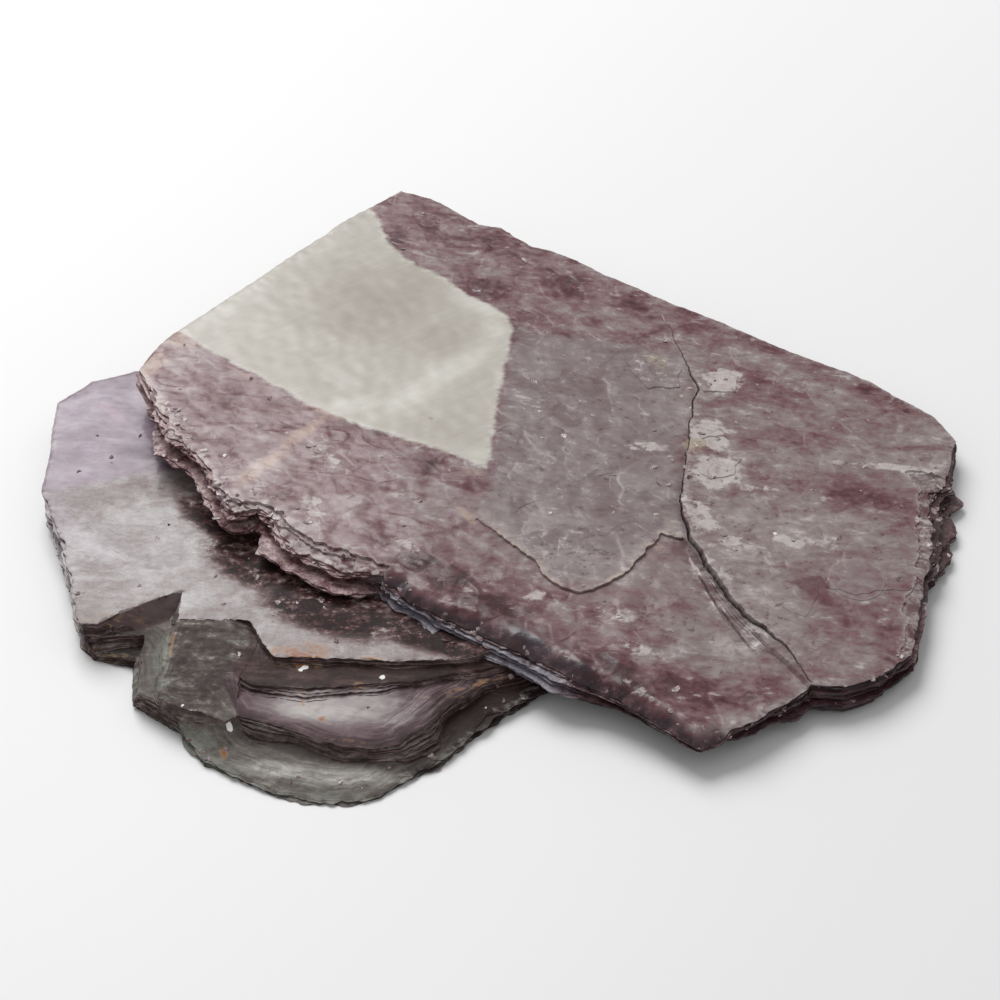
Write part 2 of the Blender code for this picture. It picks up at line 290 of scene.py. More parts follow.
upperBook = {
    "outline": [
        (-11.2, 50.3), (-7.9, 49.3), (-2.4, 44.9), (0.1, 44.4), (3.4, 41.2), (5.3, 40.8),
        (7.9, 39.1), (18.6, 32.1), (32.1, 23.9), (39.1, 20.0), (45.3, 14.6), (47.1, 10.7),
        (46.2, 7.2), (45.4, 3.8), (43.6, 2.3), (42.6, -4.4), (42.7, -7.5), (41.5, -10.3),
        (39.9, -18.2), (39.0, -21.4), (35.3, -24.7), (32.2, -26.1), (29.0, -26.1), (26.8, -27.9),
        (23.4, -30.6), (18.4, -33.7), (16.4, -32.5), (12.8, -29.4), (9.2, -26.9), (5.5, -24.9),
        (0.7, -21.7), (-5.5, -18.3), (-9.5, -15.8), (-11.2, -13.7), (-15.0, -13.2), (-19.1, -10.8),
        (-21.5, -8.5), (-21.9, -6.3), (-23.8, -4.6), (-26.0, -5.8), (-27.6, -2.6), (-29.9, 2.4),
        (-33.2, 5.5), (-35.0, 10.8), (-37.4, 15.7), (-35.3, 20.6), (-33.0, 23.9), (-16.8, 44.8),
    ],
    "thickness": 3.0,
    "tilt": (0.86, 3.72),
    "top": 5.98,
    "edgeSpacing": 2.2,
    "perEdge": 7,
    "raggedness": 0.28,
    "raggedSize": 4.348,
    "seed": 1.3,
    "seedStep": 3.7,
    "leaves": [0.0, 0.3, -0.25, 0.3, -0.1],
    "finerLeaves": 3,
    # two ends, half width of the stretch, and the extra reach of each leaf
    "stretches": [
        ((-33.5, 6.0), (-22.5, -8.0), 3.0, {2: -0.5, 3: 0.7, 4: 0.5}),
        ((-22.5, -9.5), (-14.0, -13.6), 3.0, {1: -0.2, 2: -0.4, 3: 1.0, 4: 0.6}),
        ((-5.0, -18.6), (5.0, -25.0), 3.0, {1: 0.3, 2: 0.8, 3: 0.9, 4: 1.1}),
        ((18.6, -34.5), (18.6, -34.4), 4.0, {2: -0.4, 3: -0.8, 4: -1.2}),
        ((34.0, -26.5), (28.0, -28.0), 3.5, {1: 0.1, 2: 0.5, 3: 0.5, 4: 0.7}),
        ((24.5, -30.0), (20.5, -32.5), 3.0, {1: -0.2, 2: -0.1, 3: -0.4, 4: -0.4}),
        ((7.0, -26.0), (9.0, -27.0), 3.0, {2: 0.2, 3: 0.3, 4: 0.5}),
        ((12.5, -29.3), (15.5, -32.0), 3.0, {1: -0.2, 2: -0.2, 3: -0.6, 4: -0.6}),
        ((44.6, 1.5), (43.2, -4.5), 3.5, {1: 0.5, 2: 1.6, 3: 2.0, 4: 1.8}),
    ],
    # two ends, half width of the stretch, and how loose the leaves are
    "loose": [
        ((-35.0, 9.0), (-22.0, -8.5), 4.0, 1.0), ((-22.0, -9.5), (-10.0, -15.0), 3.0, 0.8),
        ((45.0, 3.0), (42.0, -7.0), 3.5, 0.9), ((41.0, -12.0), (37.0, -24.0), 3.0, 0.4),
        ((-5.0, -19.0), (6.0, -26.0), 3.0, 0.35), ((18.4, -33.7), (30.0, -26.0), 3.0, 0.3),
    ],
    "faceSpacing": 0.34,
    # the torn leaf in front: its scalloped edge, its side along the crack, and the rest of its outline
    "scallop": [
        (-2.2, -5.2), (1.2, -8.5), (3.4, -10.8), (4.8, -13.8), (5.7, -14.4), (7.4, -14.9),
        (9.1, -14.5), (10.1, -13.7), (11.9, -11.9), (15.3, -7.1), (15.9, -5.9), (17.9, -6.4),
    ],
    "tornSide": [
        (17.9, -6.0), (18.9, -8.2), (20.0, -11.0), (21.5, -14.4), (23.0, -17.4), (25.0, -20.4),
        (27.2, -23.4), (29.2, -26.6), (30.5, -28.5),
    ],
    "tornRest": [(20.0, -38.0), (8.0, -32.0), (-5.0, -24.0), (-12.0, -17.0), (-10.0, -10.0)],
    "tornDepth": 0.34,
    "crack": [
        (17.4, 30.5), (19.5, 22.3), (20.7, 17.7), (19.9, 13.5), (19.4, 8.6), (18.5, 2.2),
        (18.0, -1.1), (18.2, -3.8), (18.9, -7.1), (20.1, -10.3), (21.4, -13.2), (22.7, -16.2),
        (24.3, -18.3), (26.7, -20.7), (28.9, -25.7), (29.6, -27.8),
    ],
    # place along y, half width and depth of the crack, and how far its right side stands up
    "crackSizes": [
        (-27.8, 0.05, 0.14, 0.03), (-23.0, 0.07, 0.18, 0.08), (-20.4, 0.11, 0.26, 0.16),
        (-17.6, 0.24, 0.42, 0.26), (-12.0, 0.27, 0.48, 0.30), (-5.0, 0.18, 0.36, 0.30), (-1.0, 0.09, 0.22, 0.24),
        (4.0, 0.06, 0.10, 0.20), (10.0, 0.07, 0.10, 0.16), (17.7, 0.13, 0.20, 0.14), (23.0, 0.08, 0.08, 0.04),
        (30.5, 0.03, 0.0, 0.0),
    ],
    "secondCrack": [(19.4, -11.7), (20.8, -15.5), (22.4, -18.7), (23.9, -21.5)],
    "roundLeaf": (34.7, -11.4, 2.7, 2.9),
    # a bare wine red window beside the round leaf
    "window": [
        (27.8, -12.2), (29.6, -11.4), (31.0, -10.9), (32.0, -12.0), (31.8, -14.0), (32.6, -15.4), (31.0, -15.2),
        (29.6, -13.6),
    ],
    # places at the rim where upper leaves have chipped away
    "chips": [
        ([(-35.4, 7.4), (-33.2, 6.4), (-31.2, 3.6), (-29.2, -0.4), (-27.6, -3.4), (-25.4, -4.4),
          (-27.0, -9.0), (-36.0, -2.0)], 0.20),
        ([(-26.6, -4.0), (-24.6, -4.4), (-22.2, -5.0), (-20.4, -7.4), (-18.2, -9.4), (-14.2, -11.2),
          (-10.6, -12.6), (-12.0, -16.0), (-24.0, -12.0)], 0.28),
        ([(-22.0, -6.6), (-20.2, -8.6), (-17.0, -10.6), (-14.0, -11.8), (-14.0, -15.0), (-22.0, -11.0)], 0.22),
        ([(41.4, 5.6), (42.4, 2.6), (41.6, -1.4), (41.4, -5.4), (40.8, -9.0), (45.0, -10.0), (48.0, 4.0)], 0.18),
        ([(40.6, -10.4), (39.4, -13.6), (39.0, -17.6), (38.0, -21.0), (42.0, -22.0), (44.0, -12.0)], 0.16),
    ],
    "rolledEdge": [(-9.0, -16.0), (5.0, -25.0), (18.0, -33.4)],
    # thin leaves left on the face: outline and height
    "scraps": [
        ([(13.4, 23.6), (16.6, 22.2), (19.0, 20.2), (18.6, 17.4), (15.6, 16.8), (13.6, 19.6)], 0.10),
        ([(20.9, 20.2), (25.2, 19.4), (24.6, 16.9), (21.4, 16.6)], 0.10),
        ([(20.2, 11.6), (22.3, 12.0), (23.0, 9.6), (20.7, 8.8)], 0.12),
        ([(20.4, 7.4), (24.4, 6.0), (23.6, 3.4), (21.2, 2.6), (20.0, 4.6)], 0.10),
        ([(31.5, -12.6), (34.4, -13.6), (38.6, -12.4), (41.0, -12.2), (40.0, -8.2), (34.0, -6.6)], 0.07),
        ([(24.2, -10.2), (28.4, -9.4), (31.2, -12.0), (29.2, -17.0), (26.6, -15.6)], 0.05),
    ],
}


def extraReach(points, number, stretches):
    reach = np.zeros(len(points))
    for start, end, halfWidth, byLeaf in stretches:
        gap, _ = nearest(points, [start, end], closed=False)
        reach += byLeaf.get(number, 0.0) * np.clip(2.0 * (1.0 - gap / halfWidth), 0.0, 1.0)
    return reach


def looseness(points, book):
    # Where the leaves have come apart at the rim
    loose = np.zeros(len(points))
    for start, end, halfWidth, amount in book["loose"]:
        gap, _ = nearest(points, [start, end], closed=False)
        loose = np.maximum(loose, amount * np.clip(2.0 * (1.0 - gap / halfWidth), 0.0, 1.0))
    return loose


def leafOutline(book, number):
    # The outline of one leaf, cut fine enough for its ragged edge
    coarse = resample(anticlockwise(book["outline"]), book["edgeSpacing"])
    seed = book["seed"] + book["seedStep"] * number
    reach = book["leaves"][number] + book["raggedness"] * ripple(coarse, book["raggedSize"], seed)
    reach += extraReach(coarse, number, book["stretches"])
    ring = coarse + reach[:, None] * outward(coarse, 1)
    after = np.roll(ring, -1, axis=0)
    shares = np.arange(book["perEdge"]) / book["perEdge"]
    fine = ring[:, None] + (after - ring)[:, None] * shares[None, :, None]
    return fine.reshape(-1, 2)


def leafRings(book, topOfRim, base):
    # Two rings for each fine leaf, its lower edge and the next leaf's upper edge
    draw = np.random.default_rng(int(10 * book["seed"]))
    total = len(book["leaves"]) * book["finerLeaves"]
    outlines = []
    for number in range(total):
        ring = leafOutline(book, number // book["finerLeaves"])
        loose = looseness(ring, book)
        stagger = draw.uniform(-0.13, 0.10) if number else 0.0
        reach = stagger * (1.0 + 2.6 * loose) + (0.12 + 0.55 * loose) * ripple(ring, 2.1, 20.0 + number)
        reach += (0.09 + 0.26 * loose) * ripple(ring, 0.7, 40.0 + number)
        outlines.append(ring + reach[:, None] * outward(ring, 4))
    rings = []
    for number in range(total):
        foot = topOfRim + (base - topOfRim) * (number + 1) / total
        rings.append((outlines[number], foot))
        if number + 1 < total:
            rings.append((outlines[number + 1], foot - 0.02))
    return outlines[0], rings


def brokenLine(line, amount, size, seed):
    fine = resample(line, 0.25, closed=False)
    shift = amount * (ripple(fine, size, seed) + 0.45 * ripple(fine, 0.3 * size, seed + 5.0))
    return fine + shift[:, None] * outward(fine, 2, closed=False)


scallopLine = brokenLine(upperBook["scallop"], 0.42, 1.9, 11.0)
sideLine = brokenLine(upperBook["tornSide"], 0.16, 2.2, 12.0)
crackLine = brokenLine(upperBook["crack"], 0.34, 2.0, 13.0)
secondLine = brokenLine(upperBook["secondCrack"], 0.12, 1.2, 14.0)


def crackSize(points, column):
    places = [facts[0] for facts in upperBook["crackSizes"]]
    return np.interp(points[:, 1], places, [facts[column] for facts in upperBook["crackSizes"]])


def fanned(points):
    # The broken leaves part from one another along the crack
    return 0.10 + 0.22 * ramp(-points[:, 1], 6.0, 16.0) - 0.27 * ramp(-points[:, 1], 18.5, 23.0)


def upperLines():
    # Crisp edges on the face: each line is followed by copies just beside it
    lines = []
    for gap in (0.0, 0.08):
        lines.append(scallopLine + gap * outward(scallopLine, 3, closed=False))
    for number in range(5):
        for gap in (0.0, 0.06):
            reach = number * fanned(sideLine) + gap
            lines.append(sideLine + reach[:, None] * outward(sideLine, 3, closed=False))
    for share in (-1.0, 0.0, 1.0):
        reach = share * crackSize(crackLine, 1)
        lines.append(crackLine + reach[:, None] * outward(crackLine, 3, closed=False))
    for gap in (-0.14, 0.0, 0.14):
        lines.append(secondLine + gap * outward(secondLine, 3, closed=False))
    for outline in scrapOutlines() + chipOutlines():
        closed = np.vstack([outline, outline[:1]])
        lines += [closed, closed + 0.07 * outward(closed, 2)]
    return lines


def chipOutlines():
    made = []
    for number, (outline, _) in enumerate(upperBook["chips"]):
        fine = resample(anticlockwise(outline), 0.3)
        made.append(ragged(ragged(fine, 0.7, 2.4, 90.0 + number), 0.22, 0.7, 95.0 + number, reach=2))
    return made


def scrapOutlines():
    made = []
    for number, (outline, _) in enumerate(upperBook["scraps"]):
        fine = resample(anticlockwise(outline), 0.35)
        made.append(ragged(fine, 0.55, 2.2, 60.0 + number))
    x, y, across, along = upperBook["roundLeaf"]
    turns = np.linspace(0.0, 2.0 * math.pi, 60, endpoint=False)
    oval = np.stack([x + across * np.cos(turns), y + along * np.sin(turns)], axis=1)
    made.append(ragged(oval, 0.12, 2.0, 80.0))
    return made


def tornFace(points):
    # How far down the broken leaves lie, with narrow leaf edges along the crack
    outline = np.vstack([scallopLine, sideLine[1:], upperBook["tornRest"]])
    inside = within(points, outline)
    toScallop, _ = nearest(points, scallopLine, closed=False)
    toSide, _ = nearest(points, sideLine, closed=False)
    spread = fanned(points)
    steps = sum(ramp(toSide - spread * n, 0.005, 0.055) for n in range(5)) / 5.0
    edge = np.where(toSide < toScallop, steps, ramp(toScallop, 0.01, 0.07))
    strength = ramp(points[:, 0], -9.0, 2.0) * (1.0 + 0.9 * ramp(points[:, 0], 16.0, 22.0))
    strength *= 0.7 + 0.3 * ripple(points, 2.6, 19.0)
    lip = ramp(points[:, 0], -6.0, 1.0) * np.exp(-((toScallop / 0.34) ** 2)) * (inside < 0.03)
    under = ramp(points[:, 0], -6.0, 1.0) * np.exp(-((toScallop / 0.16) ** 2)) * (inside >= 0.03)
    fan = np.exp(-((toSide / 1.3) ** 2)) * (inside > 0.0) * ramp(points[:, 1], -24.0, -20.5)
    border = ramp(points[:, 0], -8.0, 0.0) * np.exp(-((toScallop / 1.7) ** 2)) * (inside < 0.03)
    return np.where(inside > 0.0, upperBook["tornDepth"] * strength * edge, 0.0), lip, under, fan, border


def rolledShare(points, rimGap):
    toRoll, _ = nearest(points, upperBook["rolledEdge"], closed=False)
    along = ramp(3.6 - toRoll, 0.0, 1.4)
    wander = 1.0 + 0.5 * ripple(points, 3.0, 16.0)
    return along, np.clip(1.0 - rimGap / (0.35 + 1.5 * along * wander), 0.0, 1.0)


def upperHeight(points):
    height = 0.08 * ripple(points, 16.0, 2.0) + 0.05 * ripple(points, 4.2, 8.0)
    height += 0.03 * ripple(points, 1.5, 4.0) - 0.12
    torn = tornFace(points)[0]
    height -= torn
    gap, side = nearest(points, crackLine, closed=False)
    width = crackSize(points, 1)
    height -= crackSize(points, 2) * np.clip(1.0 - gap / width, 0.0, 1.0)
    raised = crackSize(points, 3) * np.exp(-((gap / 2.2) ** 2))
    height += np.where(side > 0, raised * ramp(gap, 0.0, width), 0.0)
    second, _ = nearest(points, secondLine, closed=False)
    height -= 0.25 * np.clip(1.0 - second / 0.14, 0.0, 1.0)
    heights = [rise for _, rise in upperBook["scraps"]] + [0.07]
    for outline, rise in zip(scrapOutlines(), heights):
        height += rise * ramp(within(points, outline), -0.06, -0.01)
    for outline, (_, depth) in zip(chipOutlines(), upperBook["chips"]):
        height -= depth * ramp(within(points, outline), -0.06, -0.01)
    rimGap, _ = nearest(points, upperRim[::2])
    along, share = rolledShare(points, rimGap)
    rough = ripple(points, 0.9, 17.0) * ramp(2.2 - rimGap, 0.0, 1.8)
    height += (0.05 + 0.10 * along + 0.10 * looseness(points, upperBook)) * rough
    height -= (0.12 + 0.95 * along) * share ** 2
    return height


def laidAslant(points):
    turn = Euler([math.radians(a) for a in (*upperBook["tilt"], 0.0)]).to_matrix()
    moved = points @ np.array(turn).T + np.array((*drawingShift, upperBook["top"]))
    return inBox(moved * mm)


upperSpots = {
    # deep wine red
    "wine": [
        (-7.8, 43.9, 7, 2.6, -20, 0.7), (2.2, 38.2, 7, 2.4, -32, 0.65), (10.9, 32.8, 8, 2.2, -32, 0.75),
        (-13.4, 40.6, 3.2, 2.4, 20, 1.0), (-3.2, 33.4, 6, 2.0, -32, 0.6),
        (27.8, 25.4, 11, 1.6, -31, 0.75), (38.0, 18.6, 8, 1.8, -32, 0.75), (29.0, 18.5, 5, 4, -20, 0.6),
        (33.5, -16.8, 6, 3.6, 0, 0.45), (37.9, -19.0, 4, 3.4, 0, 0.45), (37.0, 0.5, 4.4, 1.7, -5, 1.1),
        (41.0, -4.0, 2.0, 5.0, 0, 0.35), (31.0, 3.5, 6.0, 3.0, 0, 0.4), (29.0, 10.0, 6.0, 2.6, -5, 0.6),
        (33.0, -14.6, 4.6, 1.6, -10, 0.7), (-19.6, -3.8, 6.0, 2.6, -30, 0.45), (-10.9, -0.9, 6.0, 3.0, -20, 0.25),
        (8.3, 14.1, 7.0, 5.0, 0, 0.22),
        (-30.6, 11.0, 5, 4.0, 0, 0.7), (-27.1, 3.6, 4.5, 2.2, -10, 0.75), (-13.5, 8.2, 6.5, 2.2, -25, 0.8),
        (-6.2, 1.6, 4.5, 1.6, -25, 0.6),
        (-6.8, -12.8, 7, 2.6, -30, 1.0), (1.0, -19.0, 8, 2.4, -32, 1.0), (9.5, -25.0, 7, 2.4, -38, 1.0),
        (18.0, -27.6, 6, 3.0, -10, 0.8), (12.5, -19.0, 4.0, 1.6, -20, 0.6), (24.0, -27.0, 4, 2.0, 30, 0.7),
        (6.0, 14.0, 4.0, 1.4, 0, 0.3),
    ],
    # grey haze of the upper leaves
    "haze": [
        (6.3, 20.0, 8, 5.0, -10, 0.9), (12.4, 13.5, 8, 7.0, 0, 1.0), (6.1, 9.0, 7, 5.0, 0, 1.0),
        (9.0, 1.0, 10, 6.0, 0, 0.9), (7.0, -7.0, 8, 5, 0, 1.2), (13.0, -13.0, 7, 5, 20, 1.1),
        (8.6, -9.4, 5.0, 3.4, 0, 2.1), (14.0, -18.4, 5.0, 2.6, -15, 1.6),
        (22.0, -14.0, 3.6, 9.0, 25, 0.8), (26.0, -16.5, 4.4, 5.0, 0, 1.6), (-14.8, -3.4, 6, 3.0, -10, 0.6),
        (-3.0, -3.0, 8, 3.0, -10, 0.8), (24.0, -4.0, 8, 5.0, 0, 0.8), (33.0, -7.0, 9, 3.0, 0, 0.8),
        (34.5, 6.0, 9, 2.0, 0, 0.8), (16.0, -20.0, 6.0, 3.0, -10, 0.6), (27.0, 10.0, 7, 5, 0, 0.35),
        (-24.0, 10.0, 4, 3.0, 0, 0.4), (2.0, 28.0, 6, 2.4, -25, 0.6), (41.0, 3.0, 3, 4, 0, 0.7),
        (8.0, -10.5, 3.6, 4.6, 10, 0.8), (-9.0, -5.6, 5.0, 2.2, -15, 0.5), (20.0, -19.0, 6.0, 3.0, -30, 0.5),
        (27.5, -20.5, 4.0, 2.0, 35, 0.7),
    ],
    # white crumbly places
    "pale": [
        (23.4, 18.7, 2.5, 2.3, 0, 1.1), (21.6, 9.6, 2.0, 2.8, 0, 1.0), (22.2, 3.8, 2.7, 2.6, 0, 1.0),
        (15.8, 20.0, 2.2, 2.4, 0, 0.55), (14.6, 7.2, 3.4, 0.8, 0, 0.75), (19.8, -3.4, 1.6, 3.4, 12, 0.9),
        (23.1, -6.6, 3.0, 1.4, 0, 0.6), (28.6, -6.2, 2.6, 0.8, -15, 0.8), (31.5, -5.9, 3.4, 1.0, 0, 0.5),
        (39.4, 5.9, 6.0, 0.7, -3, 0.8), (3.5, -15.5, 1.4, 1.0, 30, 0.8), (-18.4, -4.6, 1.6, 2.2, 30, 0.7),
        (24.4, -19.0, 1.6, 0.5, -40, 0.9), (11.0, -17.6, 4.0, 1.6, 0, 0.45), (6.0, -8.0, 4.0, 2.4, 0, 0.35),
        (-16.0, 2.4, 4.0, 1.2, -35, 0.5), (26.0, 1.2, 2.4, 1.0, 0, 0.6), (13.4, -22.4, 3.0, 0.9, -30, 0.6),
        (-23.0, -2.0, 3.0, 2.0, -40, 0.35), (42.4, -3.0, 1.0, 3.0, 0, 0.7), (-1.4, 24.6, 1.6, 2.6, 20, 0.6),
        (-19.5, -5.6, 3.0, 1.0, -40, 0.5), (-9.0, -9.4, 2.6, 0.7, -30, 0.5), (4.6, -10.8, 1.4, 0.8, -30, 0.4),
        (21.2, -11.0, 0.9, 3.4, 30, 0.5), (36.5, -25.2, 4.0, 0.8, 30, 0.5), (5.6, -23.2, 2.4, 0.6, -35, 0.5),
        (13.0, -27.8, 2.2, 0.7, -35, 0.6), (7.4, -27.0, 1.6, 0.6, -38, 0.8), (12.2, -30.4, 1.4, 0.6, -38, 0.8),
    ],
    # rust and ochre
    "rust": [
        (-36.4, 16.6, 1.8, 3.4, -15, 1.0), (-35.4, 11.0, 0.8, 4.6, 22, 1.0), (-33.4, 6.4, 0.8, 2.6, 30, 0.8),
        (-33.4, 21.0, 2.4, 2.4, 0, 0.9), (-18.0, 10.6, 3.2, 1.0, -32, 1.0), (-20.0, 6.6, 0.9, 4.4, -38, 1.0),
        (-23.6, 1.2, 1.0, 5.0, -38, 1.0), (-27.0, 16.0, 5.0, 0.6, -34, 0.6), (-10.0, 6.4, 6.0, 0.5, -20, 0.5),
        (-2.6, 1.8, 1.6, 0.8, -20, 0.7), (-3.2, -4.8, 0.6, 1.6, 30, 0.9), (19.2, -14.1, 0.8, 0.5, 0, 0.5),
        (15.4, -7.6, 0.8, 1.0, 40, 0.7), (7.6, -14.3, 2.6, 0.4, 5, 0.7), (16.6, -4.2, 1.0, 0.8, 0, 0.6),
        (20.0, 7.0, 1.0, 1.0, 0, 0.8), (3.0, -21.0, 1.2, 0.6, 0, 0.35), (-15.2, 43.4, 2.0, 1.0, -40, 0.6),
    ],
    # painted shade, blue black, where the leaves roll over away from the light
    "dark": [
        (2.6, -21.6, 4.0, 1.2, -33, 0.8), (7.2, -24.9, 3.0, 1.0, -36, 0.7), (-9.8, -15.2, 1.6, 1.2, 0, 0.9),
        (42.8, -8.6, 0.8, 1.6, 0, 0.9), (43.4, 2.2, 1.6, 0.8, 0, 0.6), (41.2, 1.8, 1.2, 0.6, 0, 0.3),
    ],
    "yellow": [(16.6, 21.6, 2.0, 2.2, 0, 0.6), (19.9, 8.0, 1.6, 1.0, 10, 1.0), (22.0, 10.0, 1.4, 1.6, 0, 0.4)],
    # brighter places in the cream patch are painted highlights; the beige places are duller
    "light": [
        (-6.6, 16.4, 10.0, 1.7, 47, 0.9), (-15.0, 11.6, 7.0, 1.4, 22, 0.7), (-2.4, 29.8, 4.0, 1.5, -35, 0.9),
        (-0.6, 25.6, 1.4, 2.6, 10, 0.8), (-29.0, 28.0, 12.0, 1.8, 52, 0.6), (-19.0, 40.6, 4.0, 2.0, 50, 0.5),
        (-2.2, 4.6, 2.6, 1.0, -20, 0.4),
    ],
    "beige": [(-13.2, 29.2, 9.0, 6.0, 50, 1.0), (-6.4, 24.0, 5.0, 3.0, 40, 0.6), (-7.0, 8.0, 5.0, 2.6, 0, 0.3)],
}

creamPatch = [
    (-1.3, 2.6), (0.0, 15.1), (1.4, 25.5), (0.9, 28.2), (-3.2, 31.3), (-6.6, 34.8), (-10.4, 37.6),
    (-12.6, 41.0), (-13.4, 44.4), (-17.0, 50.0), (-44.0, 34.0), (-33.6, 22.4), (-31.1, 19.7), (-26.0, 16.2),
    (-19.4, 11.2), (-14.0, 8.2), (-6.1, 5.1),
]

# the calm grey field between the cream patch, the crack and the torn lip
greyField = [
    (1.1, 26.8), (10.6, 24.9), (20.0, 23.2), (18.4, 3.7), (18.1, -5.2), (14.6, -8.4), (10.6, -13.5), (5.4, -14.3),
    (1.9, -9.3), (-2.2, -4.3), (-1.0, 2.2), (0.0, 13.5),
]


def paintUpper(points, heights):
    crackGap, side = nearest(points, crackLine, closed=False)
    _, lip, under, fan, border = tornFace(points)
    rimGap, _ = nearest(points, upperRim[::2])
    along, share = rolledShare(points, rimGap)
    layers = {name: patches(points, spots) for name, spots in upperSpots.items()}
    layers["creamGap"] = within(points, np.array(creamPatch))
    layers["grey"] = ramp(within(points, np.array(greyField)), -1.0, 1.6)
    layers["crackLip"] = np.where(side > 0, np.exp(-((crackGap / 0.8) ** 2)), 0.0) * crackSize(points, 3) / 0.3
    # painted shade in the crack and along its left side, below the raised right side
    layers["crackDark"] = np.clip(1.3 - crackGap / crackSize(points, 1), 0.0, 1.0)
    layers["crackWall"] = np.where(side < 0, np.exp(-((crackGap / 0.55) ** 2)), 0.0) * crackSize(points, 3) / 0.3
    layers["lip"], layers["under"], layers["fan"], layers["border"] = lip, under, fan, border
    disc = within(points, scrapOutlines()[-1])
    layers["disc"] = ramp(disc, 0.0, 0.2)
    layers["discEdge"] = np.exp(-((disc / 0.16) ** 2))
    layers["window"] = ramp(within(points, np.array(upperBook["window"])) + 0.2 * ripple(points, 1.2, 75.0), -0.1, 0.15)
    layers["rolled"] = along * share
    layers["rimGap"] = rimGap
    layers["loose"] = looseness(points, upperBook) * ramp(3.0 - rimGap, 0.0, 2.4)
    layers["chip"] = np.zeros(len(points))
    layers["chipEdge"] = np.zeros(len(points))
    for outline in chipOutlines():
        inside = within(points, outline)
        layers["chip"] = np.maximum(layers["chip"], ramp(inside, -0.04, 0.02))
        layers["chipEdge"] = np.maximum(layers["chipEdge"], np.exp(-((inside / 0.25) ** 2)))
    nearCrack = np.exp(-((crackGap / 2.6) ** 2)) * ramp(points[:, 1], -2.0, 4.0) * ramp(-points[:, 1], -20.0, -16.0)
    scattered = 0.02 + 0.3 * layers["pale"] ** 2 + 0.8 * layers["loose"] + 0.3 * nearCrack + 0.1 * layers["chip"]
    layers["crumbs"] = scattered * (heights > -2.0) * (1.0 - 0.97 * ramp(layers["creamGap"], -0.5, 0.5))
    return layers


def makeUpperBook():
    rings = leafRings(upperBook, topOfRim, -upperBook["thickness"])[1]
    return bookMesh(
        "upper_book",
        upperRim,
        rings,
        upperHeight,
        lambda p: -upperBook["thickness"] + 0.12 * np.abs(ripple(p, 9.0, 5.0)),
        laidAslant,
        upperBook["faceSpacing"],
        upperLines(),
        paintUpper,
    )


upperRim, _ = leafRings(upperBook, 0.0, -upperBook["thickness"])
topOfRim = upperHeight(upperRim)
upperPiece = makeUpperBook()


# The lower book, which lies level: a sheet with a notch, and lower terraces in front of it

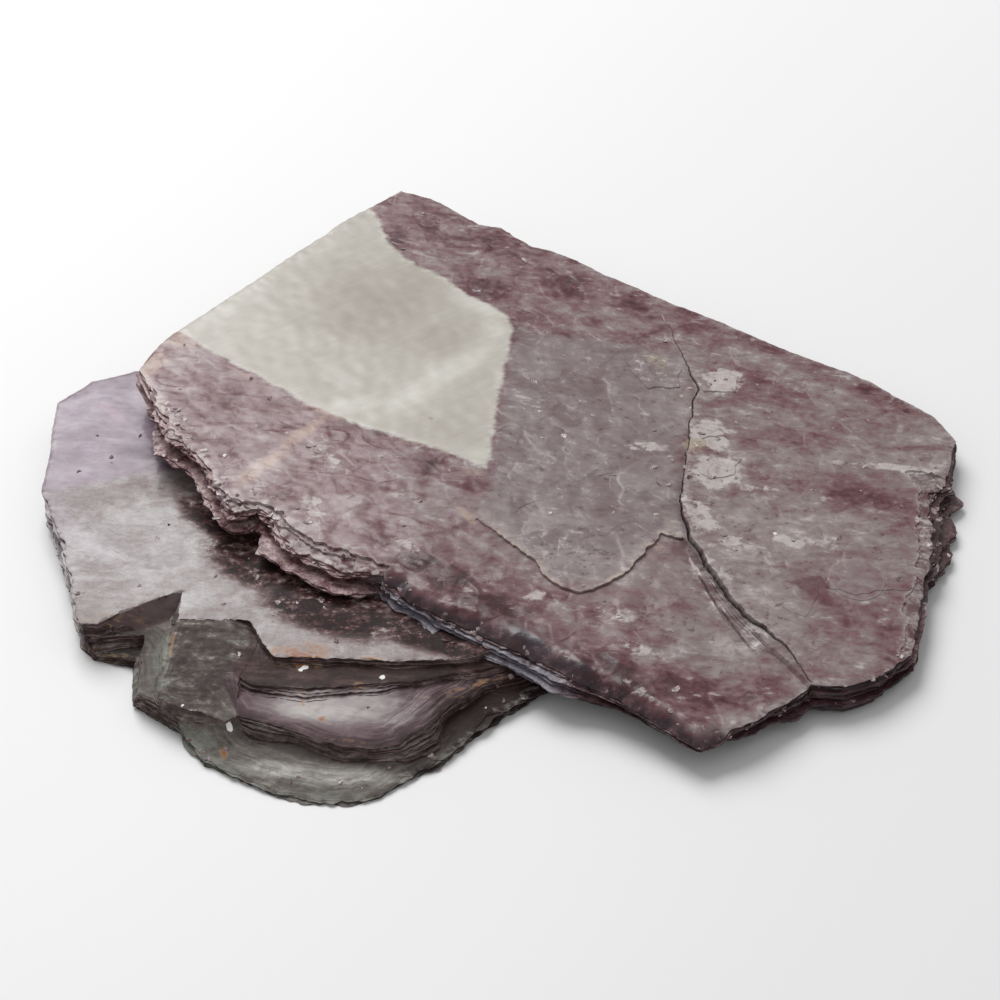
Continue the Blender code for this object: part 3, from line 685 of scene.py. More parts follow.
lowerBook = {
    "outline": [
        (-38.7, 21.7), (-43.0, 19.8), (-46.3, 16.2), (-46.0, 8.2), (-46.0, 2.2), (-44.6, -1.8),
        (-43.1, -6.4), (-41.7, -10.6), (-40.9, -14.7), (-40.1, -17.6), (-38.8, -19.1), (-34.8, -20.2),
        (-34.2, -25.6), (-32.7, -26.8), (-29.6, -29.3), (-27.0, -33.1), (-20.0, -37.0),
        (-17.2, -37.8), (-13.8, -38.1), (-10.9, -37.3), (-8.9, -35.3), (-5.9, -33.5), (-0.9, -27.8),
        (5.3, -23.1), (10.5, -15.0), (11.6, -4.0), (7.5, 8.5), (-3.0, 16.5), (-19.0, 21.0),
        (-30.0, 22.4),
    ],
    "edgeSpacing": 2.2,
    "perEdge": 8,
    "raggedness": 0.2,
    "raggedSize": 4.348,
    "seed": 5.1,
    "seedStep": 3.7,
    "leaves": [0.0, -0.15, 0.1, -0.1],
    "finerLeaves": 3,
    "stretches": [],
    "loose": [
        ((-46.0, 0.0), (-41.0, -16.0), 2.0, 0.5), ((-34.5, -21.0), (-31.0, -28.0), 2.0, 0.2),
        ((-28.0, -31.0), (-14.0, -38.0), 3.0, 0.6), ((-8.0, -35.0), (5.0, -23.0), 3.0, 0.7),
    ],
    "faceSpacing": 0.29,
    "footTop": 1.0,
    # terraces above the foot: outline, top, slope towards the viewer, drop at the edge, width of the
    # edge, leaf edges in it
    "terraces": {
        "shelf": (
            [(-42.2, -16.4), (-40.9, -19.2), (-36.2, -18.0), (-33.9, -18.0), (-33.8, -28.4),
             (-28.0, -29.0), (-28.0, -12.0), (-36.0, -10.0)],
            2.4, 0.0, 1.4, 0.6, 6,
        ),
        "terrace": (
            [(-26.2, -15.0), (-26.0, -25.2), (-24.2, -28.9), (-19.2, -30.6), (-16.8, -31.9),
             (-14.5, -32.9), (-11.4, -33.2), (-9.3, -32.7), (-7.9, -31.2), (-6.4, -29.7), (-4.2, -27.3),
             (-1.5, -24.7), (3.0, -22.6), (8.0, -14.0), (0.0, -8.0)],
            2.3, 0.0, 1.3, 1.0, 7,
        ),
        "step": (
            [(-25.0, -16.0), (-24.9, -24.0), (-22.9, -25.6), (-17.6, -26.0), (-13.1, -25.5),
             (-9.3, -25.0), (-5.6, -24.4), (0.2, -22.8), (3.0, -16.0), (-4.0, -10.0)],
            3.0, 0.0, 0.7, 0.7, 4,
        ),
        "block": (
            [(-30.6, -13.4), (-31.2, -17.6), (-32.0, -25.6), (-31.6, -27.4), (-28.6, -28.9),
             (-25.4, -29.8), (-24.4, -29.0), (-24.6, -27.5), (-24.2, -23.8), (-22.9, -20.0),
             (-22.0, -14.0)],
            3.73, 3.6, 2.5, 1.9, 4,
        ),
        "sheet": (
            [(-38.0, 25.0), (-45.0, 23.0), (-49.0, 17.0), (-49.0, 2.0), (-46.0, -8.0), (-43.0, -18.0),
             (-39.9, -18.0), (-38.3, -18.0), (-36.3, -16.4), (-33.6, -14.8), (-30.6, -13.5),
             (-30.7, -17.3), (-23.8, -17.5), (-22.5, -20.3), (-21.1, -22.4), (-15.0, -22.8),
             (-10.5, -23.2), (-6.6, -23.1), (-1.9, -22.5), (4.0, -18.0), (14.0, -10.0), (14.0, 0.0),
             (10.0, 12.0), (-3.0, 20.0), (-22.0, 26.0)],
            3.8, 0.0, 2.8, 0.8, 9,
        ),
    },
    "sheetTop": 3.8,
    "hingeY": -17.3,
    # the slanted face in the notch: the edge it hangs from, its outline and its fall in mm per mm
    "slantEdge": [(-39.9, -18.0), (-30.6, -13.5)],
    "slant": [(-39.9, -18.0), (-30.6, -13.3), (-31.2, -15.9), (-33.8, -17.2)],
    "slantFall": 0.8,
    "flank": [(-24.4, -29.2), (-24.6, -27.5), (-24.2, -23.8), (-22.9, -20.0), (-22.0, -14.0)],
}


def terraceEdges():
    # Each terrace as a stack of leaves, every lower one reaching a little further out
    made = {}
    for number, (name, facts) in enumerate(lowerBook["terraces"].items()):
        outline, _, _, _, width, count = facts
        fine = resample(anticlockwise(outline), 0.3)
        away = outward(fine, 3)
        seed = 30.0 + 7.0 * number
        wander = 0.26 * ripple(fine, 3.0, seed) + 0.12 * ripple(fine, 0.8, seed + 1.0)
        stretch = np.clip(1.0 + 1.7 * ripple(fine, 5.0, seed + 2.0), 0.12, 2.4)
        rings = []
        shares = leafShares(name, count)
        for leaf in range(count):
            own = 0.8 * width / count * (ripple(fine, 1.3, seed + 3.0 + leaf) + ripple(fine, 3.4, seed + 4.0 + leaf))
            reach = wander + width * stretch * shares[leaf] + own * (leaf > 0)
            rings.append(fine + reach[:, None] * away)
        made[name] = rings
    return made


def leafShares(name, count):
    # Uneven leaves, thin and thick, from 0 at the top
    draw = np.random.default_rng(len(name))
    thickness = draw.uniform(0.35, 1.6, count)
    return np.concatenate([[0.0], np.cumsum(thickness)[:-1]]) / np.sum(thickness)


lowerEdges = terraceEdges()


def slantHeight(points):
    # The slanted face in the notch falls away from the edge of the sheet
    start, end = (np.array(p) for p in lowerBook["slantEdge"])
    along = (end - start) / np.linalg.norm(end - start)
    offset = points - start
    down = along[1] * offset[:, 0] - along[0] * offset[:, 1]
    height = lowerBook["sheetTop"] - 0.03 - down * lowerBook["slantFall"]
    inside = within(points, np.array(lowerBook["slant"]))
    return np.where(inside > 0.0, height, -9.0), inside


def terraceHeight(points, name):
    _, top, slope, drop, _, count = lowerBook["terraces"][name]
    fall = (lowerBook["hingeY"] - points[:, 1]) * math.tan(math.radians(slope))
    face = top - np.maximum(fall, 0.0)
    height = np.full(len(points), -9.0)
    if name == "block":
        # its right flank sinks into its neighbours and its near side slopes down
        gap, _ = nearest(points, lowerBook["flank"], closed=False)
        beside = np.interp(points[:, 1], (-27.0, -25.0), (2.34, 3.04))
        face = beside + (face - beside) * ramp(gap, 0.0, 3.4)
        inside = within(points, lowerEdges[name][0])
        down = np.clip(-inside / (2.0 + 0.7 * ripple(points, 2.4, 70.0)), 0.0, 1.0)
        height = np.where(inside < 0.0, face - 0.06 - 1.9 * down ** 0.8, -9.0)
        height = np.where(points[:, 1] < -24.0, height, -9.0)
    insides = [within(points, ring) for ring in lowerEdges[name]]
    for share, inside in zip(leafShares(name, count), insides):
        height = np.maximum(height, np.where(inside > -0.045, face - drop * share - 0.09 * (inside < 0), -9.0))
    return height, insides[0]


def lowerHeight(points):
    rimGap, _ = nearest(points, lowerRim[::2])
    front = ramp(-points[:, 1], 25.0, 29.0)
    toe = sum(ramp(0.55 * (n + 1) + 0.35 * ripple(points, 2.6, 50.0 + n) - rimGap, 0.0, 0.06) for n in range(4))
    height = lowerBook["footTop"] - 0.13 * front * toe
    for name in lowerBook["terraces"]:
        height = np.maximum(height, terraceHeight(points, name)[0])
    height = np.maximum(height, slantHeight(points)[0])
    height += 0.05 * ripple(points, 9.0, 3.0) + 0.04 * ripple(points, 2.6, 6.0)
    height += 0.025 * ripple(points, 0.8, 9.0) - 0.05
    return height - 0.12 * np.clip(1.0 - rimGap / 0.4, 0.0, 1.0) ** 2


def lowerLines():
    lines = []
    for rings in lowerEdges.values():
        for ring in rings:
            closed = np.vstack([ring, ring[:1]])
            lines += [closed, closed + 0.05 * outward(closed, 2)]
    slant = resample(lowerBook["slant"], 0.3)
    lines.append(np.vstack([slant, slant[:1]]))
    return lines


def laidLevel(points):
    return inBox((points + np.array((*drawingShift, 0.0))) * mm)


lowerSpots = {
    "lilac": [
        (-43.0, 14.0, 4, 6.0, 0, 0.9), (-38.0, 15.0, 5, 5, 0, 1.0), (-41.0, 6.5, 6, 3.6, 0, 0.8),
        (-44.6, -2.0, 3.0, 6.0, 15, 0.7), (-34.0, 7.0, 3, 3.0, 0, 0.8), (-40.0, -9.0, 3, 5, 10, 0.35),
        (-27.0, -9.5, 4, 2.0, 0, 0.3),
    ],
    "purple": [(-33.4, 6.8, 2.8, 2.2, -20, 1.0), (-32.0, 10.0, 1.8, 3.0, 0, 0.6), (-36.4, 8.0, 2.4, 1.6, 0, 0.35)],
    "pink": [
        (-40.4, 14.6, 3.6, 0.7, -48, 1.0), (-44.4, 6.0, 1.2, 5.0, 0, 0.5), (-31.0, -12.6, 3.4, 0.7, 10, 0.5),
        (-38.6, -11.4, 4.0, 1.4, 6, 0.6), (-41.6, -2.0, 2.0, 3.0, 0, 0.4),
    ],
    # painted shade cast by the upper book on the sheet
    "shade": [
        (-28.8, -2.2, 4.5, 2.2, -45, 0.8), (-23.6, -9.3, 6, 3.2, -35, 1.0), (-16.2, -15.8, 7.4, 3.8, -25, 1.0),
        (-6.5, -19.4, 6, 2.6, -20, 1.0), (-1.0, -22.0, 5, 2.4, -15, 1.0),
    ],
    # painted shade in the notch, in the recesses and under the near side of the upper book
    "deep": [
        (-2.4, -27.0, 6.0, 2.4, 38, 1.3), (2.4, -23.6, 4.0, 2.4, 38, 1.3), (-7.0, -33.6, 3.0, 1.2, 45, 0.7),
        (-38.0, -18.4, 4.6, 2.4, 0, 0.62), (-35.4, -20.0, 2.0, 1.6, 0, 0.62), (-4.4, -30.4, 3.0, 1.4, 45, 0.8), (-17.0, -32.4, 6.0, 0.8, -12, 0.6),
        (-22.6, -31.0, 2.0, 1.0, -30, 0.6), (-27.6, -23.0, 3.0, 4.0, 0, 0.45),
    ],
    "green": [
        (-32.0, -21.4, 1.0, 3.4, 0, 1.0), (-31.6, -25.6, 1.0, 1.8, 0, 0.8), (-29.4, -30.6, 4.4, 1.4, -14, 1.0),
        (-26.0, -34.0, 3.6, 1.4, -38, 1.0), (-16.0, -37.4, 7.0, 0.8, -4, 0.7), (-34.2, -22.6, 0.7, 4.0, 0, 0.5),
    ],
    "gold": [(-37.4, -18.0, 4.0, 2.2, 0, 1.0), (-28.5, -10.5, 3.0, 1.2, 0, 0.25), (-2.0, -24.8, 4.0, 0.8, 30, 0.6)],
    "rust": [
        (-18.6, -21.9, 2.8, 1.5, 0, 1.3), (-20.6, -21.7, 1.6, 0.8, 0, 0.8), (-12.0, -22.8, 1.6, 0.4, 0, 0.8),
        (-18.2, -27.0, 0.5, 1.4, 10, 0.9), (-16.3, -29.4, 0.8, 0.5, 0, 0.8), (-17.4, -20.6, 0.8, 1.0, 40, 0.6),
        (-13.2, -25.6, 0.6, 0.6, 0, 0.8), (-31.0, -20.5, 0.25, 2.4, 0, 0.9), (-25.4, -32.2, 0.4, 1.4, 10, 0.9),
        (-3.2, -25.2, 5.0, 0.5, 20, 0.8), (-21.0, -10.5, 2.2, 0.8, -40, 0.4), (-14.0, -32.2, 2.4, 0.35, -8, 0.6),
    ],
    # painted highlights: bright glints on little facets
    "sparkle": [
        (-18.3, -23.2, 0.30, 0.30, 0, 1.2), (-18.7, -23.5, 0.22, 0.30, 30, 1.2), (-11.0, -24.5, 0.24, 0.30, 0, 1.3),
        (-24.9, -30.0, 0.28, 0.36, 0, 1.3), (-29.4, -28.4, 0.18, 0.22, 0, 1.3), (-17.2, -12.7, 0.16, 0.22, 0, 1.3),
    ],
    "silver": [
        (-36.0, -6.0, 7, 6, 0, 1.0), (-29.3, -9.5, 6, 4, -20, 0.8), (-19.8, -19.4, 4, 1.8, -15, 0.9),
        (-16.5, -28.0, 5, 1.9, -8, 1.0), (-12.4, -27.0, 3.4, 1.6, 10, 0.7), (-9.0, -28.6, 2.4, 1.4, 40, 0.5),
        (-20.0, -34.6, 3.6, 0.9, -12, 0.9), (-13.5, -35.5, 5.0, 0.9, 0, 0.9), (-5.8, -21.6, 4.0, 1.0, 0, 0.4),
    ],
}


def paintLower(points, heights):
    layers = {name: patches(points, spots) for name, spots in lowerSpots.items()}
    for name in ("block", "step", "terrace", "sheet"):
        layers[name + "Gap"] = within(points, lowerEdges[name][0])
    rimGap, _ = nearest(points, lowerRim[::2])
    layers["rimGap"] = rimGap
    layers["slantGap"] = within(points, np.array(lowerBook["slant"]))
    edge = np.array([(-60.0, 2.6), (-44.1, 1.6), (-38.4, 4.0), (-31.8, 5.4), (-20.0, 7.6)])
    gap, side = nearest(points, edge, closed=False, limit=200.0)
    layers["lilacGap"] = np.minimum(gap, farAway) * side
    gap, _ = nearest(points, lowerBook["flank"], closed=False)
    layers["flankGap"] = gap
    loose = looseness(points, lowerBook) * ramp(2.4 - rimGap, 0.0, 2.0)
    layers["crumbs"] = (0.03 + 0.26 * layers["shade"] + 0.7 * loose + 0.2 * layers["green"]) * (heights > 0.6)
    return layers


lowerRim, _ = leafRings(lowerBook, 0.0, 0.0)
lowerTopOfRim = lowerHeight(lowerRim)


def makeLowerBook():
    rings = leafRings(lowerBook, lowerTopOfRim, 0.0)[1]
    return bookMesh(
        "lower_book",
        lowerRim,
        rings,
        lowerHeight,
        lambda p: np.zeros(len(p)),
        laidLevel,
        lowerBook["faceSpacing"],
        lowerLines(),
        paintLower,
    )


lowerPiece = makeLowerBook()


# Shader maths: a wire wraps a socket, and Python's own signs add its Math nodes

class Wire:
    def __init__(self, recipe, socket):
        self.recipe = recipe
        self.socket = socket

    def act(self, operation, first, second):
        return self.recipe.node("ShaderNodeMath", {"operation": operation}, {0: first, 1: second})

    def __add__(self, other):
        return self.act("ADD", self, other)

    def __radd__(self, other):
        return self.act("ADD", other, self)

    def __sub__(self, other):
        return self.act("SUBTRACT", self, other)

    def __rsub__(self, other):
        return self.act("SUBTRACT", other, self)

    def __mul__(self, other):
        return self.act("MULTIPLY", self, other)

    def __rmul__(self, other):
        return self.act("MULTIPLY", other, self)

    def __truediv__(self, other):
        return self.act("DIVIDE", self, other)


class Recipe:
    def __init__(self, name):
        self.material = bpy.data.materials.new(name)
        self.material.use_nodes = True
        self.tree = self.material.node_tree
        self.shader = self.tree.nodes["Principled BSDF"]
        self.place = self.node("ShaderNodeTexCoord", out="Object")

    def node(self, kind, settings=None, inputs=None, out=0):
        made = self.tree.nodes.new(kind)
        for name, value in (settings or {}).items():
            if name == "stops":
                self.setStops(made.color_ramp, value)
            else:
                setattr(made, name, value)
        for key, value in (inputs or {}).items():
            if isinstance(value, Wire):
                self.tree.links.new(value.socket, made.inputs[key])
            else:
                made.inputs[key].default_value = value
        return Wire(self, made.outputs[out])

    def setStops(self, ramp, stops):
        while len(ramp.elements) < len(stops):
            ramp.elements.new(1.0)
        for element, (position, colour) in zip(ramp.elements, stops):
            element.position = position
            element.color = colour

    def layer(self, name):
        return self.node("ShaderNodeAttribute", {"attribute_name": name}, out="Fac")

    def smooth(self, value, low, high):
        return self.node(
            "ShaderNodeMapRange",
            {"interpolation_type": "SMOOTHSTEP"},
            {"Value": value, "From Min": low, "From Max": high},
        )

    def blend(self, share, under, over):
        return self.node(
            "ShaderNodeMix", {"data_type": "RGBA"}, {0: share, 6: under, 7: over}, out=2
        )

    def graded(self, value, stops):
        return self.node("ShaderNodeValToRGB", {"stops": stops}, {"Fac": value})

    def grain(self, size, seed, detail=4.0, rough=0.6, bend=0.0, turn=0.0):
        # Cloudy noise about zero, with features of the given sizes in millimetres
        where = self.node(
            "ShaderNodeMapping",
            {"vector_type": "TEXTURE"},
            {
                "Vector": self.place,
                "Rotation": (0.0, 0.0, math.radians(turn)),
                "Scale": tuple(s * mm for s in size),
            },
        )
        shift = (seed, 2.3 * seed, 0.7 * seed)
        moved = self.node("ShaderNodeVectorMath", {"operation": "ADD"}, {0: where, 1: shift})
        noisy = self.node(
            "ShaderNodeTexNoise",
            {},
            {"Vector": moved, "Scale": 1.0, "Detail": detail, "Roughness": rough, "Distortion": bend},
        )
        return (noisy - 0.5) * 3.0

    def flakes(self, size, wander, seed):
        # One value for each wandering flake, about zero
        bend = self.node(
            "ShaderNodeTexNoise",
            {},
            {"Vector": self.place, "Scale": 0.8 / (size * mm), "Detail": 0.0},
            out="Color",
        )
        moved = self.node(
            "ShaderNodeVectorMath",
            {"operation": "MULTIPLY_ADD"},
            {0: bend, 1: (wander * mm,) * 3, 2: self.place},
        )
        shifted = self.node("ShaderNodeVectorMath", {"operation": "ADD"}, {0: moved, 1: (seed, seed, 0.0)})
        cell = self.node(
            "ShaderNodeTexVoronoi",
            {"voronoi_dimensions": "2D", "feature": "SMOOTH_F1"},
            {"Vector": shifted, "Scale": 1.0 / (size * mm), "Smoothness": 0.35},
            out="Color",
        )
        return self.node("ShaderNodeSeparateXYZ", {}, {0: cell}, out="X") - 0.5

    def dots(self, size, share, seed):
        # Small scattered dots, laid in as painted glints of tiny facets: one in so many cells holds one
        shifted = self.node("ShaderNodeVectorMath", {"operation": "ADD"}, {0: self.place, 1: (seed, seed, seed)})
        inputs = {"Vector": shifted, "Scale": 1.0 / (size * mm)}
        gap = self.node("ShaderNodeTexVoronoi", {}, inputs, out="Distance")
        colour = Wire(self, gap.socket.node.outputs["Color"])
        draw = self.node("ShaderNodeSeparateXYZ", {}, {0: colour})
        return self.smooth(gap, 0.34, 0.20) * self.smooth(draw, 1.0 - share, 1.02 - share)

    def threads(self, size, seed, width):
        # Thin wandering lines, where a noise passes through zero
        gap = self.node("ShaderNodeMath", {"operation": "ABSOLUTE"}, {0: self.grain(size, seed, 2.0, 0.55)})
        return self.smooth(gap, width, width * 0.2)

    def axis(self, name):
        return self.node("ShaderNodeSeparateXYZ", {}, {0: self.place}, out=name) * (1.0 / mm)

    def levelness(self):
        facing = self.node("ShaderNodeNewGeometry", out="True Normal")
        return self.node("ShaderNodeSeparateXYZ", {}, {0: facing}, out="Z")

    def leafLines(self, depth, fineness, seed):
        # Thin lines that keep to one depth, as leaf edges do, about zero
        x, y = self.axis("X") * 0.22 + seed, self.axis("Y") * 0.22
        where = self.node("ShaderNodeCombineXYZ", {}, {0: x, 1: y, 2: depth * fineness})
        noisy = self.node(
            "ShaderNodeTexNoise", {}, {"Vector": where, "Scale": 1.0, "Detail": 2.0, "Roughness": 0.7}
        )
        return (noisy - 0.5) * 3.0

    def finish(self, colour, roughness, height, coat, constants):
        bump = self.node("ShaderNodeBump", {}, {"Strength": 1.0, "Distance": mm, "Height": height})
        links = {"Base Color": colour, "Roughness": roughness, "Normal": bump, "Coat Weight": coat}
        for name, wire in links.items():
            self.tree.links.new(wire.socket, self.shader.inputs[name])
        for name, value in constants.items():
            self.shader.inputs[name].default_value = value
        return self.material


def tone(red, green, blue):
    # A colour as a screen shows it, made linear
    shares = [channel / 255.0 for channel in (red, green, blue)]
    return tuple(s / 12.92 if s <= 0.04045 else ((s + 0.055) / 1.055) ** 2.4 for s in shares) + (1.0,)


micaGloss = {"IOR": 1.56, "Coat Roughness": 0.18, "Coat IOR": 1.5, "Specular IOR Level": 0.4}
dullGloss = {**micaGloss, "Specular IOR Level": 0.13}

upperTones = {
    # from bare wine red mica to a thick white haze
    "book": [
        (0.0, tone(62, 28, 33)), (0.18, tone(94, 54, 60)), (0.36, tone(119, 87, 91)),
        (0.54, tone(133, 115, 115)), (0.7, tone(149, 136, 135)), (0.84, tone(176, 165, 162)),
        (1.0, tone(208, 200, 197)),
    ],
    "grey": [
        (0.0, tone(88, 66, 69)), (0.3, tone(112, 94, 96)), (0.55, tone(133, 119, 119)), (0.8, tone(165, 154, 152)),
        (1.0, tone(204, 197, 193)),
    ],
    "pink": [
        (0.0, tone(84, 44, 50)), (0.3, tone(122, 88, 92)), (0.6, tone(156, 134, 136)), (0.85, tone(176, 158, 157)),
        (1.0, tone(206, 195, 192)),
    ],
    "cream": [(0.0, tone(156, 149, 138)), (0.45, tone(176, 170, 159)), (0.75, tone(192, 188, 178)), (1.0, tone(212, 209, 200))],
    "wall": [(0.0, tone(18, 10, 13)), (0.35, tone(44, 24, 29)), (0.6, tone(84, 52, 57)), (0.8, tone(128, 100, 103)), (1.0, tone(176, 156, 156))],
    "ledge": [(0.0, tone(60, 24, 30)), (0.35, tone(104, 62, 67)), (0.65, tone(160, 130, 130)), (1.0, tone(206, 186, 180))],
    # painted shade for the rolled-over near edge, with paler flecks
    "roll": [(0.0, tone(20, 15, 20)), (0.35, tone(48, 33, 40)), (0.6, tone(84, 56, 63)), (0.8, tone(122, 100, 106)), (1.0, tone(176, 168, 172))],
    # of the single tones below, the near-black wine and the blue black are painted shade, and the glint is a painted
    # highlight
    "blueLeaf": tone(142, 139, 150), "pale": tone(194, 185, 182), "yellow": tone(176, 164, 138),
    "ochre": tone(198, 174, 156), "rust": tone(176, 134, 112), "dark": tone(42, 26, 30), "wine": tone(74, 38, 44),
    "blueBlackShade": tone(38, 35, 44), "window": tone(96, 54, 60), "disc": tone(128, 104, 109), "glint": tone(226, 216, 214),
}


def upperMaterial():
    recipe = Recipe("purple_mica")
    tones = upperTones
    x, y = recipe.axis("X"), recipe.axis("Y")
    large = recipe.grain((8.0, 6.0, 6.0), 3.1, 3.0, 0.6, 0.4)
    middle = recipe.grain((2.8, 1.7, 2.0), 7.7, 3.0, 0.66, 0.5)
    small = recipe.grain((0.8, 0.6, 0.6), 2.9, 2.0, 0.68)
    fine = recipe.grain((0.26, 0.24, 0.25), 1.9, 1.0, 0.6)
    streak = recipe.grain((2.6, 0.9, 1.0), 5.3, 2.0, 0.6, 0.0, -8.0)
    bigFlake = recipe.flakes(2.6, 1.5, 0.31)
    smallFlake = recipe.flakes(1.1, 0.6, 0.77)
    mottle = middle * 0.28 + small * 0.13 + streak * 0.10 + fine * 0.04 + bigFlake * 0.14 + smallFlake * 0.10
    grey = recipe.smooth(recipe.layer("grey") + middle * 0.4 + small * 0.1, 0.2, 0.9)
    mottle = large * 0.18 + mottle * (1.0 - recipe.smooth(recipe.layer("haze"), 0.0, 1.2) * 0.4)
    mottle = mottle * (1.0 - grey * 0.25) + recipe.layer("border") * 0.16

    haze = 0.415 + recipe.layer("haze") * 0.11 - recipe.layer("wine") * 0.34 + mottle
    haze = haze + recipe.smooth(x, -12.0, -26.0) * 0.08 + recipe.smooth(x, 13.0, 22.0) * 0.13
    colour = recipe.graded(haze, tones["book"])
    colour = recipe.blend(grey * 0.85, colour, recipe.graded(haze, tones["grey"]))
    pinkSide = recipe.smooth(x + large * 3.0, -6.0, -16.0)
    colour = recipe.blend(pinkSide * 0.8, colour, recipe.graded(haze, tones["pink"]))

    flecks = recipe.smooth(streak + middle * 0.6 + recipe.layer("pale") * 0.4 + small * 0.5, 0.5, 1.0)
    colour = recipe.blend(flecks * 0.5, colour, tones["pale"])
    veins = recipe.threads((4.2, 2.6, 3.0), 2.2, 0.035) * recipe.smooth(middle, 0.0, 0.7)
    colour = recipe.blend(veins * 0.45, colour, tones["pale"])
    # painted glints: tiny bright dots
    glintDots = recipe.dots(0.5, 0.08, 0.013) * recipe.smooth(middle + large * 0.5, -0.3, 0.6)
    colour = recipe.blend(glintDots * 0.4, colour, tones["pale"])
    colour = recipe.blend(recipe.layer("window") * (0.85 + small * 0.2), colour, tones["window"])
    colour = recipe.blend(recipe.layer("disc") * 0.35, colour, tones["disc"])
    colour = recipe.blend(recipe.layer("discEdge") * 0.2, colour, tones["pale"])
    pits = recipe.smooth(small + smallFlake * 0.6 - recipe.layer("haze") * 0.15, -0.62, -0.80)
    colour = recipe.blend(pits * 0.5, colour, tones["wine"])
    paleShare = recipe.smooth(recipe.layer("pale") * 1.2 + middle * 0.35 + small * 0.3 + smallFlake * 0.6, 0.45, 0.95)
    colour = recipe.blend(paleShare * (0.8 + small * 0.3), colour, tones["pale"])
    yellow = recipe.smooth(recipe.layer("yellow") + small * 0.3, 0.4, 0.8)
    colour = recipe.blend(yellow * 0.7, colour, tones["yellow"])
    rustShare = recipe.smooth(recipe.layer("rust") + middle * 0.3 + small * 0.3 + smallFlake * 0.2, 0.25, 1.15)
    rustTone = recipe.blend(recipe.smooth(fine + small, 0.1, 0.6), tones["ochre"], tones["rust"])
    colour = recipe.blend(rustShare * 0.55, colour, rustTone)
    chipped = recipe.layer("chip") * recipe.smooth(middle + small * 0.5, 0.5, -0.3)
    colour = recipe.blend(chipped * 0.5, colour, tones["wine"])
    chipEdge = recipe.layer("chipEdge") * recipe.smooth(small + fine * 0.5, -0.4, 0.3)
    colour = recipe.blend(chipEdge * 0.4, colour, tones["pale"])

    edge = recipe.layer("creamGap") + middle * 0.34 + small * 0.08
    inCream = recipe.smooth(edge, -0.30, 0.35)
    drag = recipe.grain((7.0, 0.9, 1.5), 6.1, 5.0, 0.65, 0.6, 34.0)
    # painted highlights brighten parts of the cream patch
    creamField = 0.62 + recipe.layer("light") * 0.36 - recipe.layer("beige") * 0.38 + drag * 0.13
    creamField = creamField + large * 0.05 + middle * 0.03 + small * 0.02
    cream = recipe.graded(creamField, tones["cream"])
    border = recipe.smooth(recipe.layer("creamGap"), 1.1, 0.15) * recipe.smooth(small + streak, -0.3, 0.4)
    cream = recipe.blend(border * 0.45, cream, tones["cream"][3][1])
    colour = recipe.blend(inCream * 0.96, colour, cream)
    rim = recipe.smooth(recipe.layer("rimGap"), 0.9, 0.1)
    paleRim = rim * recipe.smooth(middle + small * 0.5, -0.2, 0.4) * (1.0 - recipe.layer("rolled"))
    colour = recipe.blend(paleRim * 0.35, colour, tones["pale"])

    speckled = recipe.smooth(small + fine * 0.5, -0.4, 0.3)
    lipShare = recipe.smooth(middle + small * 0.6, -0.5, 0.4)
    colour = recipe.blend(recipe.layer("lip") * lipShare * (0.2 + speckled * 0.4), colour, tones["ochre"])
    colour = recipe.blend(recipe.layer("under") * 0.6, colour, tones["wine"])
    colour = recipe.blend(recipe.layer("fan") * recipe.smooth(middle + small, 0.5, -0.4) * 0.5, colour, tones["wine"])
    colour = recipe.blend(recipe.layer("crackLip") * speckled * 0.45, colour, tones["pale"])
    # painted shade below the crack's raised side and in the crack itself
    colour = recipe.blend(recipe.layer("crackWall") * 0.6, colour, tones["dark"])
    colour = recipe.blend(recipe.smooth(recipe.layer("crackDark"), 0.2, 1.0) * 0.75, colour, tones["dark"])
    # painted shade where the leaves roll over at the near edge: blue black patches, then a mottled dark band along the
    # rim
    edgeShadeShare = recipe.smooth(recipe.layer("dark") + middle * 0.35 + small * 0.3, 0.35, 0.8)
    colour = recipe.blend(edgeShadeShare * 0.85, colour, tones["blueBlackShade"])
    roll = recipe.smooth(recipe.layer("rolled") + middle * 0.30 + small * 0.25 + bigFlake * 0.2, 0.35, 0.8)
    rolled = recipe.graded(0.42 + middle * 0.34 + small * 0.34 + smallFlake * 0.3 + fine * 0.12, tones["roll"])
    colour = recipe.blend(roll * 0.92, colour, rolled)

    depth = recipe.layer("leafDepth")
    onEdge = recipe.smooth(depth, 0.01, 0.12)
    lines = recipe.leafLines(depth, 7.0, 1.0)
    left = recipe.smooth(x, -9.0, -17.0)
    level = recipe.smooth(recipe.levelness(), 0.5, 0.85)
    wall = recipe.graded(0.36 + lines * 0.30 + small * 0.18 + middle * 0.12 + fine * 0.06 + level * 0.2, tones["wall"])
    broken = middle * 0.30 + small * 0.36 + fine * 0.14 + smallFlake * 0.3
    ledge = recipe.graded(0.38 + lines * 0.22 + broken + level * 0.16, tones["ledge"])
    wall = recipe.blend(left, wall, ledge)
    blueSide = recipe.smooth(x, -14.0, -9.0) * recipe.smooth(x, 8.0, 3.0) * recipe.smooth(depth + middle * 0.15, 0.15, 0.4) * recipe.smooth(y, 0.0, -6.0)
    wall = recipe.blend(blueSide * recipe.smooth(lines + small * 0.5 + middle * 0.3, -0.9, 0.1) * 0.9, wall, tones["blueLeaf"])
    creamEdge = recipe.smooth(y, 22.0, 30.0) * recipe.smooth(x, 0.0, -8.0)
    wall = recipe.blend(creamEdge * 0.7, wall, tones["cream"][1][1])
    # painted glints on the leaf edges
    glints = recipe.smooth(fine + small * 0.4, 0.95, 1.15)
    wall = recipe.blend(glints * 0.8, wall, tones["glint"])
    colour = recipe.blend(onEdge, colour, wall)

